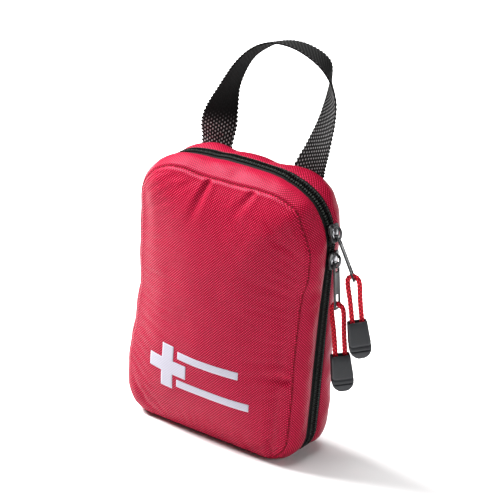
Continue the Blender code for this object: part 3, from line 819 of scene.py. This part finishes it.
def film(name, boxes, across, up, tree, look, node):
    """The cells of a grid that lie in any of the boxes (x0, z0, x1, z1 in mm), laid on the cloth."""
    xs, zs = steps_between(across), steps_between(up)
    points, faces, placed = [], [], {}

    def corner(i, j):
        if (i, j) not in placed:
            placed[i, j] = len(points)
            hit = tree.ray_cast(Vector((xs[i] * MM, -0.2, zs[j] * MM)), Vector((0, 1, 0)))[0]
            points.append((hit.x, hit.y - 0.10 * MM, hit.z))
        return placed[i, j]

    for j in range(len(zs) - 1):
        for i in range(len(xs) - 1):
            x, z = (xs[i] + xs[i + 1]) / 2, (zs[j] + zs[j + 1]) / 2
            if any(x0 < x < x1 and z0 < z < z1 for x0, z0, x1, z1 in boxes):
                faces.append([corner(i, j), corner(i + 1, j), corner(i + 1, j + 1), corner(i, j + 1)])
    points = np.array(points)
    piece = mesh_piece(name, points, faces, points[:, [0, 2]] / MM)
    thicken(piece, 0.12 * MM, 0.0)
    finish_piece(piece, look, "front_half", [node])


# ---- zip

COIL_PITCH = 1.3 * MM
COIL_WIRE = 0.34 * MM
COIL_MIDDLE, COIL_HALF = 1.72, 1.28  # a coil's middle and half width, in mm from the middle of the zip
COIL_OUT, COIL_RISE = 3.72, 0.42  # how far out its middle lies, and half its height
THREAD_MIDDLE, THREAD_OUT, THREAD_RISE = 2.1, 4.16, 0.16
THREAD_WIRE = 0.15 * MM


# A tape's cross section, in mm from the middle of the zip and out.
TAPE_PROFILE = ((0.6, 2.75), (1.5, 2.8), (3.2, 2.8), (4.2, 2.85), (5.0, 2.8), (6.4, 2.5))
TAPE_THICK = 0.5 * MM
TURN_STEPS = 10  # points in one turn of a coil


def build_zip():
    """Two tapes, two coils of flattened wire that mesh in the middle, and the thread on the coils."""
    tape = tape_look()
    black = (0.0015, 0.0015, 0.0015)
    # The coil and its thread are painted black in their shade and lighter where their highlights fall.
    coil = yarn_look("coil_nylon", black, (0.045, 0.052, 0.047), 0.5, power=2.0, specular=0.06)
    thread = yarn_look("coil_thread", (0.002, 0.003, 0.002), (0.14, 0.155, 0.145), 0.7, power=3.0)
    for side, way in (("front", -1), ("back", 1)):
        body = f"{side}_half"
        at = np.linspace(*ZIP_ENDS, 420)
        grid = wall_grid(at, [(ZIP_Y + way * y * MM, out * MM, 1.0) for y, out in TAPE_PROFILE])
        over = np.array([y for y, _ in TAPE_PROFILE])[:, None]
        weave = np.stack(np.broadcast_arrays(at / MM, over), -1)
        if way > 0:
            grid, weave = grid[:, ::-1], weave[:, ::-1]
        piece = surface(f"tape_{side}", grid, weave)
        thicken(piece, TAPE_THICK)
        finish_piece(piece, tape, body, [f"zip_tape_{side}"])

        turns = int((ZIP_ENDS[1] - ZIP_ENDS[0] - 2 * MM) / COIL_PITCH)
        t = np.arange(turns * TURN_STEPS + 1) / TURN_STEPS
        at = ZIP_ENDS[0] + MM + (t + (0.5 if way > 0 else 0.0)) * COIL_PITCH
        angle = 2 * math.pi * t * way
        y = ZIP_Y + way * (COIL_MIDDLE + COIL_HALF * np.cos(angle)) * MM
        path = on_wall(at, y, (COIL_OUT + COIL_RISE * np.sin(angle)) * MM, 1.0)
        # Painted highlight: the outer top of each coil turn is painted lighter.
        top = np.repeat(np.clip(np.cos(angle - 1.0), 0, 1)[:, None] ** 2, 6, axis=1)
        piece = surface(f"coil_{side}", tube(path, COIL_WIRE, 6), relief_and_painted_light=top, wrap=True, caps=True)
        finish_piece(piece, coil, body, [f"zip_coil_{side}"])

        stitch = np.cos(math.pi * t)
        y = np.full_like(at, ZIP_Y + way * THREAD_MIDDLE * MM)
        path = on_wall(at, y, (THREAD_OUT + THREAD_RISE * stitch) * MM, 1.0)
        line = tube(path[::2], THREAD_WIRE, 5)
        # Painted highlight: the thread is painted lighter where it rises over the coil.
        shine = np.repeat(np.clip(stitch, 0, 1)[::2, None], 5, axis=1)
        piece = surface(f"coil_thread_{side}", line, relief_and_painted_light=shine, wrap=True, caps=True)
        finish_piece(piece, thread, body)


# ---- handle

# The handle's middle line as the frame holds it: x, y, z in mm, turn and drop of its width in degrees.
HANDLE_ROUTE = (
    (-32.0, 16.3, 140, 0, 0),
    (-32.0, 16.3, 152, 0, 0),
    (-32.2, 16.9, 158, 6, 0),
    (-32.4, 17.4, 165, 30, 0),
    (-31.8, 17.8, 174, 55, 0),
    (-28.8, 18.2, 187, 80, 0),
    (-21.5, 18.5, 203, 90, 4),
    (-12.0, 18.5, 213.5, 90, 9),
    (-2.0, 18.5, 219.5, 90, 10),
    (9.0, 18.5, 221.5, 90, 10),
    (20.0, 18.5, 220.0, 92, 10),
    (28.5, 18.5, 216.0, 105, 6),
    (33.0, 18.5, 209.5, 120, 0),
    (35.2, 18.2, 200, 134, 0),
    (35.0, 17.8, 190, 142, 0),
    (33.2, 17.2, 178, 150, 0),
    (29.9, 17.1, 165, 162, 0),
    (28.0, 16.7, 158, 174, 0),
    (27.0, 16.3, 152, 180, 0),
    (27.0, 16.3, 140, 180, 0),
)
WEB_WIDTH = 20 * MM
WEB_THICK = 1.2 * MM
WEB_YARNS = 13
WEB_PICK = 1.15 * MM
WEB_RELIEF = 0.24 * MM  # how far a yarn rises and dives
WEB_SCALLOP = 0.38 * MM  # how far the edges swing in and out
WEB_LIT = {"right": 212 * MM, "left": 174 * MM}  # the heights below which the yarn highlights are painted stronger, as if the light grazed the yarns there


def build_handle():
    """Webbing woven in the mesh: lengthwise yarns that rise and dive from pick to pick."""
    route = smooth_through(HANDLE_ROUTE, 8)
    route[:, :3] *= MM
    rows, at = resampled(route, PATH_STEP["webbing"])
    middle = rows[:, :3]
    turn, drop = np.radians(rows[:, 3]), np.radians(rows[:, 4])
    across = np.stack([np.cos(turn), np.sin(turn) * np.cos(drop), -np.sin(turn) * np.sin(drop)], 1)
    along = unit(np.gradient(middle, axis=0))
    across = unit(across - along * (across * along).sum(1)[:, None])
    face = np.cross(along, across)
    share = np.linspace(0, 1, WEB_YARNS * 3 + 1)
    yarn = share * WEB_YARNS
    pick = at[:, None] / WEB_PICK
    lane = np.minimum(np.floor(yarn), WEB_YARNS - 1)
    rounded = np.abs(np.sin(math.pi * yarn)) ** 0.6
    right = middle[:, 0] > 0
    # Painted light: how strongly the yarn highlights are painted, strong on the feet and weakest on the
    # upper left of the loop.
    lit_below = np.where(right, WEB_LIT["right"], WEB_LIT["left"])
    lit_above = np.where(middle[:, 0] > -5 * MM, 0.6, 0.3)
    lit_foot = np.where(right, 1.0, 1.3)
    lit = lit_above + (lit_foot - lit_above) * np.clip((lit_below - middle[:, 2]) / (10 * MM), 0, 1)
    from_middle = share - 0.5
    near_edge = np.abs(from_middle) > 0.46
    scallop = WEB_SCALLOP * np.cos(math.pi * pick) * np.sign(from_middle) * near_edge
    sideways = from_middle * (WEB_WIDTH - 0.6 * MM) + scallop
    edge = np.sqrt(np.clip(1 - (np.abs(from_middle) * 2) ** 14, 0, 1))
    sheets, painted_light_shares = [], []
    for sign in (1, -1):
        float_over = 0.5 + 0.5 * np.cos(math.pi * (pick + lane + (0 if sign > 0 else 1)))
        relief_and_painted_light = rounded * (0.25 + 0.75 * float_over)
        height = (WEB_THICK / 2 * (0.35 + 0.65 * edge) + WEB_RELIEF * (relief_and_painted_light - 0.5)) * sign
        flat = middle[:, None] + across[:, None] * sideways[..., None]
        sheets.append((flat + face[:, None] * height[..., None])[:, ::sign])
        painted_light_shares.append((relief_and_painted_light * lit[:, None])[:, ::sign])
    points, relief_and_painted_light = np.concatenate(sheets, axis=1), np.concatenate(painted_light_shares, axis=1)
    piece = surface("webbing_handle", points, relief_and_painted_light=relief_and_painted_light, wrap=True, caps=True)
    # dark is the painted shade in the yarn valleys, and light the painted highlight on the yarn tops.
    dark, light = (0.008, 0.008, 0.008), (0.52, 0.52, 0.52)
    black = yarn_look("black_webbing", dark, light, 0.8, 5.0, 4.0, specular=0.02)
    finish_piece(piece, black, "back_half", ["handle_strap"])


# ---- sliders and pulls

PULL_OUT = 7.5 * MM
PULL_DOWN = 1.9 * MM
CORD_LEAN = {"upper": math.radians(12.5), "lower": math.radians(10.4)}
CORD_DROP = {"upper": 25.2 * MM, "lower": 28.8 * MM}
LOOP_DROP = 26.5 * MM  # the drop that the loop is drawn for
CORD_DIAMETER = 2.8 * MM
BRAID_LAY = 8.8 * MM  # the length in which a strand goes once round
BRAID_TOP, BRAID_DEPTH = 0.08 * MM, 0.34 * MM  # how far the strands stand out, and how deep the valleys are
CORD_SIDES = 20
END_TURN = math.radians(40)
END_TILT_EXTRA = math.radians(1.5)
# Half of a cord loop, in mm and degrees: how far down, how far aside, how far turned.
LOOP_HALF = (
    (0.0, 0.0, 0), (0.35, 1.3, 0), (1.5, 2.8, 2), (3.4, 3.4, 5), (8.0, 3.15, 15),
    (14.0, 2.7, 24), (20.0, 2.6, 33), (25.0, 2.6, 39), (27.7, 2.6, 40),
)


def hung(place, lean):
    """A frame whose Z axis is turned outwards by lean, at a place."""
    return Matrix.Translation(place) @ Matrix.Rotation(-lean, 4, "Y")


def slider_frame(which):
    """The frame of a slider, and the radius of the zip's bend under it."""
    tab_at = Vector(JOINTS[f"pull_{which}_swing"]["pos_m"])
    if which == "lower":
        return hung(Vector((HALF_WIDTH, ZIP_Y, tab_at.z + PULL_DOWN)), 0.0), 0.0
    spoke = tab_at - CORNER
    turn = math.atan2(spoke.z, spoke.x) + math.atan2(PULL_DOWN, TOP_RADIUS + PULL_OUT)
    return hung(CORNER, turn), TOP_RADIUS


def pull_frames(which):
    """The frames of a tab, its cord and its cord end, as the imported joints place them."""
    tab_at = Vector(JOINTS[f"pull_{which}_swing"]["pos_m"])
    cord_at = Vector(JOINTS[f"cord_{which}_swing"]["pos_m"])
    hanging = cord_at - tab_at
    tab = hung(tab_at, math.atan2(hanging.x, -hanging.z))
    cord = hung(cord_at, CORD_LEAN[which])
    end = cord @ Matrix.Translation((0, 0, -CORD_DROP[which]))
    end = end @ Matrix.Rotation(END_TURN, 4, "Z") @ Matrix.Rotation(-END_TILT_EXTRA, 4, "Y")
    return tab, cord, end


def moved(points, matrix):
    """A grid of points through a matrix."""
    points = np.asarray(points, float)
    turned = points.reshape(-1, 3) @ np.array(matrix.to_3x3()).T + np.array(matrix.translation)
    return turned.reshape(points.shape)


def build_cords():
    """The two braided cord loops, each from the cord end up through the pull tab and back."""
    half = smooth_through(LOOP_HALF, 6)
    legs = [(-1, row) for row in half[::-1]] + [(1, row) for row in half[1:]]
    rows = []
    for side, (down, width, turn) in legs:
        angle = math.radians(turn)
        rows.append((side * width * math.cos(angle), side * width * math.sin(angle), -down))
    rows = np.array(rows) * MM
    # Painted shade in the braid's grooves and painted highlights on its strands.
    red = yarn_look("red_cord", (0.10, 0.000, 0.003), (0.90, 0.020, 0.045), 0.6, 8.0)
    turn = np.linspace(0, 2 * math.pi, CORD_SIDES, endpoint=False)
    made = {}
    for which in ("upper", "lower"):
        fall = CORD_DROP[which] / LOOP_DROP
        path, at = resampled(moved(rows * (1, 1, fall), pull_frames(which)[1]), PATH_STEP["cord"])
        climb = 2 * math.pi * at[:, None] / BRAID_LAY
        one = np.abs(np.sin(2 * (turn + climb)))
        other = np.abs(np.sin(2 * (turn - climb)))
        # relief shapes the braid and also paints it: painted shade in the grooves, painted highlights on the
        # strands.
        relief_and_painted_light = np.clip(1.4 * one * other, 0, 1) ** 1.5
        radius = CORD_DIAMETER / 2 + BRAID_TOP - BRAID_DEPTH * (1 - relief_and_painted_light)
        grid = tube(path, radius, CORD_SIDES)
        piece = surface(f"braided_cord_{which}", grid, relief_and_painted_light=relief_and_painted_light, wrap=True, caps=True)
        finish_piece(piece, red, f"cord_{which}", [f"cord_loop_{which}"])
        made[which] = (piece, path, at[-1])
    return made


# Rings of a cord end, from the top down, in mm: half width, half depth, corner radius, how far down,
# and how far the middle sags.
SHELL_RINGS = (
    (4.3, 1.8, 1.0, 2.1), (4.35, 1.85, 1.0, 0.4), (4.5, 2.0, 1.0, 0.0), (4.8, 2.6, 1.1, -0.25),
    (5.1, 3.0, 1.1, -0.1), (5.25, 3.2, 1.2, 0.4), (5.4, 3.4, 1.2, 3.5), (5.6, 3.55, 1.2, 7.0),
    (5.8, 3.6, 1.3, 9.5, 1.0), (5.9, 3.6, 1.4, 10.8, 2.4), (5.95, 3.58, 1.4, 11.4, 3.1),
    (5.75, 3.25, 1.3, 11.6, 3.2), (5.65, 3.05, 1.3, 12.0, 3.2), (5.8, 3.3, 1.3, 12.3, 3.2),
    (5.9, 3.4, 1.4, 12.8, 2.9), (5.95, 3.4, 1.4, 14.0, 2.1), (5.9, 3.4, 1.4, 14.9, 1.5),
    (5.0, 2.6, 1.2, 15.2, 1.35),
)
CAP_RINGS = (
    (5.0, 2.5, 1.2, 15.5, 1.3), (5.75, 3.2, 1.4, 15.3, 1.6), (5.8, 3.25, 1.4, 15.7, 1.7),
    (5.6, 3.2, 1.5, 16.6, 1.9), (5.1, 3.0, 1.6, 17.6, 2.0), (4.3, 2.6, 1.6, 18.5, 1.6),
    (3.1, 2.0, 1.2, 19.4, 1.0), (1.6, 1.1, 0.7, 20.3, 0.3),
)


def oblong(half_width, half_depth, clip, down, sag=0.0):
    """A level ring with rounded corners, whose middle can sag below its sides."""
    ring = []
    for sx, sy, start in ((1, -1, -90), (1, 1, 0), (-1, 1, 90), (-1, -1, 180)):
        for step in range(11):
            angle = math.radians(start + 9 * step)
            x = sx * (half_width - clip) + clip * math.cos(angle)
            y = sy * (half_depth - clip) + clip * math.sin(angle)
            bowed = sag * (1 - (x / half_width) ** 2)
            ring.append((x * MM, y * MM, -(down + bowed) * MM))
    return ring


def build_cord_ends():
    """Moulded cord ends: a tapered shell with a deep mouth, and a cap that snaps on along a curved line."""
    dark, worn = (0.013, 0.014, 0.016), (0.033, 0.035, 0.040)
    plastic = moulded_look("cord_end_plastic", dark, worn, 0.42, grain=5.0, specular=0.3)
    made = {}
    for which in ("upper", "lower"):
        end = pull_frames(which)[2]
        made[which] = []
        for part, rings in (("shell", SHELL_RINGS), ("cap", CAP_RINGS)):
            grid = moved(np.array([oblong(*ring) for ring in rings])[:, ::-1], end)
            piece = surface(f"cord_end_{which}_{part}_moulding", grid, wrap=True, caps=True)
            finish_piece(piece, plastic, f"cord_{which}", [f"cord_end_{which}_{part}"])
            made[which].append(piece)
    return made


# A slider lies on the zip with its first axis outwards; outlines are in mm, across and along the zip.
PLATE_SIDE = (
    (1.2, 5.0), (3.0, 4.9), (4.1, 4.2), (4.5, 2.9), (4.4, 1.2), (3.9, -0.6), (3.6, -2.4), (3.5, -4.2),
    (2.9, -4.9), (1.2, -5.0),
)
FLANGE_SIDE = ((3.6, 4.2), (4.45, 3.0), (4.35, 1.2), (3.85, -0.6), (3.55, -2.4), (3.45, -4.2))
FLANGE_THICK = 0.7
WEDGE = ((0.2, 4.6), (0.2, 1.0), (-0.2, 1.0), (-0.2, 4.6))
BAIL_ARCH = ((-4.0, 6.2), (-3.9, 7.5), (-2.8, 8.9), (-0.9, 9.6), (1.3, 9.5), (3.0, 8.5), (3.95, 6.2))
BAIL_RING = ((-1, -0.5), (-0.6, -1), (0.6, -1), (1, -0.5), (1, 0.5), (0.6, 1), (-0.6, 1), (-1, 0.5))
BAIL_HALF = (1.0 * MM, 0.46 * MM)  # half its width and half its thickness


def plate(outline, low, high):
    """A plate from its outline and the heights of its two faces."""
    return [[(out, across, along) for across, along in outline] for out in (low, high)]


def slider_plates():
    """The plates of the casting: top, bottom, wedge, two flanges and the two feet of the bail."""
    outline = [*PLATE_SIDE, *((-across, along) for across, along in reversed(PLATE_SIDE))]
    inner = [(across - FLANGE_THICK, along) for across, along in reversed(FLANGE_SIDE)]
    plates = [plate(outline, 5.05, 5.95), plate(outline, 0.4, 1.15), plate(WEDGE, 1.0, 5.2)]
    for sign in (1, -1):
        flange = [(sign * across, along) for across, along in (*FLANGE_SIDE, *inner)]
        plates.append(plate(flange, 4.55, 5.3))
    for along in (3.9, -4.0):
        foot = [(1.3, along - 0.9), (1.3, along + 0.9), (-1.3, along + 0.9), (-1.3, along - 0.9)]
        plates.append(plate(foot, 5.8, 6.6))
    return plates


def slider_crown():
    """The domed boss in the middle of the top plate."""
    rings = []
    for rise in np.radians(13 * np.arange(7)):
        wide, tall = 2.6 * math.cos(rise), 3.0 * math.cos(rise)
        turns = [2 * math.pi * k / 20 for k in range(20)]
        height = 5.7 + 1.1 * math.sin(rise)
        rings.append([(height, wide * math.cos(turn), tall * math.sin(turn)) for turn in turns])
    return rings


def slider_bail(reach):
    """The flat strap that arches over the top plate and holds the tab."""
    line = smooth_through([(out, 0.0, along) for along, out in BAIL_ARCH], 6) * MM
    line[:, 0] += reach
    sideways = np.array([0, 1.0, 0])
    inward = unit(np.cross(np.gradient(line, axis=0), sideways))
    half_width, half_thick = BAIL_HALF
    return np.stack([line + sideways * u * half_width + inward * v * half_thick for u, v in BAIL_RING], 1)


def build_sliders():
    """Cast sliders with a bail and a grooved tab."""
    metal = moulded_look(
        "slider_lacquer", (0.006, 0.006, 0.007), (0.05, 0.05, 0.055), 0.3, coat=0.3, specular=0.4)
    polished = moulded_look("slider_crown", (0.30, 0.30, 0.32), (0.55, 0.55, 0.57), 0.25, metallic=1.0)
    tab_metal = moulded_look(
        "tab_lacquer", (0.010, 0.010, 0.011), (0.16, 0.16, 0.17), 0.35, metallic=0.4, specular=0.3)
    for which in ("upper", "lower"):
        slider, reach = slider_frame(which)

        def on_zip(rings):
            local = np.array(rings, float) * MM
            local[..., 0] += reach
            return moved(local, slider)

        casting = joined(f"slider_{which}_casting", [on_zip(rings) for rings in slider_plates()])
        bevelled(casting, 0.22 * MM)
        crown = surface(f"slider_{which}_crown", on_zip(slider_crown()), wrap=True, caps=True)
        finish_piece(crown, polished, f"slider_{which}")
        finish_piece(casting, metal, f"slider_{which}", [f"slider_{which}_body"])
        bail = surface(f"slider_{which}_arch", moved(slider_bail(reach), slider), wrap=True, caps=True)
        finish_piece(bail, metal, f"slider_{which}", [f"slider_{which}_bail"])
        build_tab(which, tab_metal)


TAB_TWIST = {"upper": math.radians(24), "lower": 0.0}  # how far the loose tab has turned in its bail
TAB_COLUMNS = (-2.8, -2.2, -1.55, 1.55, 2.2, 2.8)
TAB_LEVELS = (0.7, 0.35, -0.7, -1.4, -2.8, -4.3, -5.2, -15.9, -16.8, -20.0, -24.1, -24.8, -25.1)
TAB_WINDOWS = ((-4.4, -0.6), (-24.2, -16.7))
WINDOW_COLUMN = 2
CELL_SIDES = {  # the step to the next cell, and the two corners of the side between
    (-1, 0): ((0, 0), (0, 1)),
    (1, 0): ((1, 1), (1, 0)),
    (0, -1): ((1, 0), (0, 0)),
    (0, 1): ((0, 1), (1, 1)),
}


def tab_point(depth, y, z):
    """A point of the tab: sunk between the windows, slightly waisted, with clipped corners."""
    sunk = 0.18 if -16.0 < z < -5.1 and abs(y) < 1.6 else 0.0
    waist = 1 - 0.10 * math.exp(-(((z + 10.5) / 6.0) ** 2)) if abs(y) > 1.6 else 1.0
    clipped = 0.84 if abs(y) > 2.5 and (z > 0.5 or z < -25.0) else 1.0
    return depth * (0.5 - sunk) * MM, y * waist * clipped * MM, z * MM


def in_window(j, i):
    """Whether a cell of the tab's grid is open."""
    top, bottom = TAB_LEVELS[j], TAB_LEVELS[j + 1]
    return i == WINDOW_COLUMN and any(low < bottom < top < high for low, high in TAB_WINDOWS)


def build_tab(which, look):
    """A cast tab: a flat frame with a window at each end and a sunk panel between."""
    points = [tab_point(depth, y, z) for depth in (-1, 1) for z in TAB_LEVELS for y in TAB_COLUMNS]
    rows, columns = len(TAB_LEVELS), len(TAB_COLUMNS)
    sides = [numbered(rows, columns, first).tolist() for first in (0, rows * columns)]
    cells = [(j, i) for j in range(rows - 1) for i in range(columns - 1)]
    solid = {cell for cell in cells if not in_window(*cell)}
    faces = []
    for j, i in solid:
        for depth, side in enumerate(sides):
            face = [side[j][i], side[j][i + 1], side[j + 1][i + 1], side[j + 1][i]]
            faces.append(face if depth else face[::-1])
        for (down, right), corners in CELL_SIDES.items():
            if (j + down, i + right) not in solid:
                (a, b), (c, d) = ((j + row, i + column) for row, column in corners)
                low, high = sides
                faces.append([low[a][b], low[c][d], high[c][d], high[a][b]])
    twist = Matrix.Rotation(TAB_TWIST[which], 4, "Z")
    tab = pull_frames(which)[0]
    piece = mesh_piece(f"pull_{which}_casting", moved(np.array(points), tab @ twist), faces)
    bevelled(piece, 0.16 * MM)
    finish_piece(piece, look, f"pull_{which}", [f"pull_tab_{which}"])


# ---- contents

def pillow(name, node, look, fill, seal, seed):
    """A sealed pack in its CAD box: two sheets, full in the middle and pressed flat at the seal."""
    low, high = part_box(node)
    size = high - low
    thin = min(range(3), key=lambda k: size[k])
    wide, tall = [k for k in range(3) if k != thin]
    across, up = 36, 48
    u, v = np.meshgrid(np.linspace(-1, 1, across), np.linspace(-1, 1, up))
    half_w, half_t = size[wide] / 2, size[tall] / 2
    edge_w = np.clip((1 - np.abs(u)) * half_w / (seal * 2), 0, 1)
    edge_t = np.clip((1 - np.abs(v)) * half_t / (seal * 2), 0, 1)
    full = np.sqrt(np.clip(edge_w * 1.3 - 0.3, 0, 1) * np.clip(edge_t * 1.3 - 0.3, 0, 1))
    places = np.stack([u.ravel() * half_w, v.ravel() * half_t], 1) / MM
    crumple = (wobble(places, 8.0, seed) * 0.7 + wobble(places, 3.5, seed + 2) * 0.3).reshape(u.shape)
    crimp = 0.12 * MM * np.sin(u * half_w / MM * 3.2) * (full < 0.05)
    sheets = []
    for sign in (1, -1):
        rise = full * fill * size[thin] / 2 * (1 + 0.22 * crumple) + 0.15 * MM
        grid = np.zeros((up, across, 3))
        grid[..., wide] = (low[wide] + high[wide]) / 2 + u * half_w
        grid[..., tall] = (low[tall] + high[tall]) / 2 + v * half_t
        grid[..., thin] = (low[thin] + high[thin]) / 2 + sign * np.minimum(rise, size[thin] / 2) + crimp
        sheets.append(grid)
    ring = np.concatenate([sheets[0], sheets[1][:, ::-1]], axis=1)
    piece = surface(name, ring, wrap=True, caps=True)
    finish_piece(piece, look, "back_half", [node])


def roll(name, node, look, slot, ridge):
    """A rolled bandage: a spiral of layers seen at each end, with woven edges."""
    low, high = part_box(node)
    middle = (low + high) / 2
    core, turns, steps = 1.5 * MM, 9, 40
    wound = (high.z - low.z) / 2 - core
    t = np.linspace(0, 1, turns * steps + 1)
    angle = 2 * math.pi * turns * t
    reach = core + (wound - 0.1 * MM) * t
    xs = np.linspace(low.x + 0.3 * MM, high.x - 0.3 * MM, 26)
    fray = wobble(np.stack([t * 60, np.zeros_like(t)], 1), 3.0, 4.0) * 0.25 * MM
    grid = np.zeros((len(t), len(xs), 3))
    for i, x in enumerate(xs):
        radius = reach + ridge * MM * math.sin(i * 1.7)
        grid[:, i, 0] = x + fray * (i in (0, len(xs) - 1))
        grid[:, i, 1] = middle.y + radius * np.cos(angle)
        grid[:, i, 2] = middle.z + radius * np.sin(angle)
    around = np.broadcast_to((angle * reach / MM)[:, None], grid.shape[:2])
    piece = surface(name, grid, np.stack([grid[..., 0] / MM, around], -1))
    thicken(piece, wound / turns * 0.62)
    finish_piece(piece, look, "back_half", [node])


def open_weave_look(name, dark, light, pitch):
    """Gauze or crepe: crossing threads, with painted shade in the gaps between them."""
    look = Look(name, {"Roughness": 0.85, "Specular IOR Level": 0.2, "Sheen Weight": 0.3})
    where = look.weave()
    warp, weft = (look.wave(where, way, pitch) for way in ((1, 0, 0), (0, 1, 0)))
    threads = look.math("MAXIMUM", warp, weft)
    # Painted shade: the gaps between the threads are painted darker.
    look.colour(look.mix(look.spread(threads, 0.5, 1.0), dark, light))
    look.bump(threads, 0.12 * MM)
    return look.material


def film_look(name, colour, stripe, roughness, metallic=0.0, period=9.0):
    """Pack film or board with a plain printed band and fine crinkles."""
    look = Look(name, {"Metallic": metallic, "Specular IOR Level": 0.5, "Coat Weight": 0.2})
    where = look.place()
    crinkle = look.noise(where, 0.55, 5.0)
    band = look.math("GREATER_THAN", look.wave(where, (0, 0, 1), period), 0.86)
    lighter = tuple(min(1.0, c * 1.12) for c in colour)
    look.colour(look.mix(band, look.mix(crinkle, colour, lighter), stripe))
    look.roughness(look.spread(crinkle, 0.3, 0.7, roughness - 0.08, roughness + 0.12))
    look.bump(crinkle, 0.25 * MM, 0.6)
    return look.material


WHITE, FOIL = (0.80, 0.82, 0.84), (0.82, 0.64, 0.25)
GREEN, BLUE, RED = (0.05, 0.30, 0.16), (0.06, 0.17, 0.42), (0.55, 0.02, 0.05)
# Piece, node, slot, fill and seal in mm; then the look: name, colour, stripe, roughness, metallic, period.
PACKS = (
    ("triangular_bandage_wrap", "triangular_bandage_pack", "pack_paper", 0.95, 3,
     ("bandage_wrap", WHITE, GREEN, 0.6, 0.0, 26.0)),
    ("wound_dressing_wrap", "wound_dressing_pack", "wrapper", 0.95, 3,
     ("dressing_wrap", (0.84, 0.86, 0.88), BLUE, 0.35, 0.0, 31.0)),
    ("cleansing_wipe_sachet", "cleansing_wipe_pack", "foil", 0.9, 2.5,
     ("sachet_foil", WHITE, BLUE, 0.25, 0.6, 22.0)),
    ("rescue_blanket_bag", "rescue_blanket_pack", "foil", 0.98, 2,
     ("blanket_foil", FOIL, (0.78, 0.78, 0.78), 0.22, 0.9, 19.0)),
    ("glove_bag", "glove_pack", "nitrile", 0.9, 2,
     ("glove_film", (0.13, 0.27, 0.52), (0.10, 0.22, 0.45), 0.45, 0.0, 13.0)),
)


def build_contents():
    """What such a kit holds: packs, two rolls, plasters, tweezers and the elastic loop."""
    for seed, (name, node, slot, fill, seal, look) in enumerate(PACKS, 1):
        pillow(name, node, film_look(*look), fill, seal * MM, float(seed))
    dress_node("plaster_pack", film_look("plaster_carton", (0.80, 0.70, 0.52), RED, 0.6, period=24.0))
    gauze = open_weave_look("gauze", (0.62, 0.60, 0.56), (0.90, 0.89, 0.86), 1.1)
    roll("gauze_bandage", "gauze_bandage_roll", gauze, "gauze", 0.06)
    crepe = open_weave_look("crepe", (0.50, 0.33, 0.20), (0.78, 0.58, 0.42), 1.6)
    roll("elastic_bandage", "elastic_bandage_roll", crepe, "crepe", 0.14)
    steel = moulded_look("tweezer_steel", (0.55, 0.56, 0.58), (0.75, 0.76, 0.78), 0.28, 1.0, grain=2.0)
    dress_node("tweezers", steel)
    elastic = film_look("elastic_band", (0.015, 0.015, 0.016), (0.04, 0.04, 0.042), 0.7, period=1.6)
    dress_node("elastic_loop", elastic)


def build_bindings():
    """The tape that binds the raw edges inside each seam."""
    look = film_look("binding", (0.010, 0.010, 0.011), (0.03, 0.03, 0.031), 0.75, period=1.2)
    at = np.linspace(0, RIM_LENGTH, 400, endpoint=False)
    for side in ("front", "back"):
        low, high = (corner.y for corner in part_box(f"{side}_seam_binding"))
        section = [(low, -3.6), (high, -3.6), (high, -3.0), (low, -3.0), (low, -3.6)]
        grid = wall_grid(at, [(y, out * MM, 0.0) for y, out in section])
        piece = surface(f"{side}_binding", grid, wrap=True)
        finish_piece(piece, look, f"{side}_half", [f"{side}_seam_binding"])


def dress_node(node, look):
    """A CAD node that is right as it is gets its material."""
    materials = frame["nodes"][node].data.materials
    materials.clear()
    materials.append(look)


build_camera()
cords = build_cords()
cord_ends = build_cord_ends()
build_stage()
build_cloth()
build_zip()
build_handle()
build_sliders()
build_contents()
build_bindings()
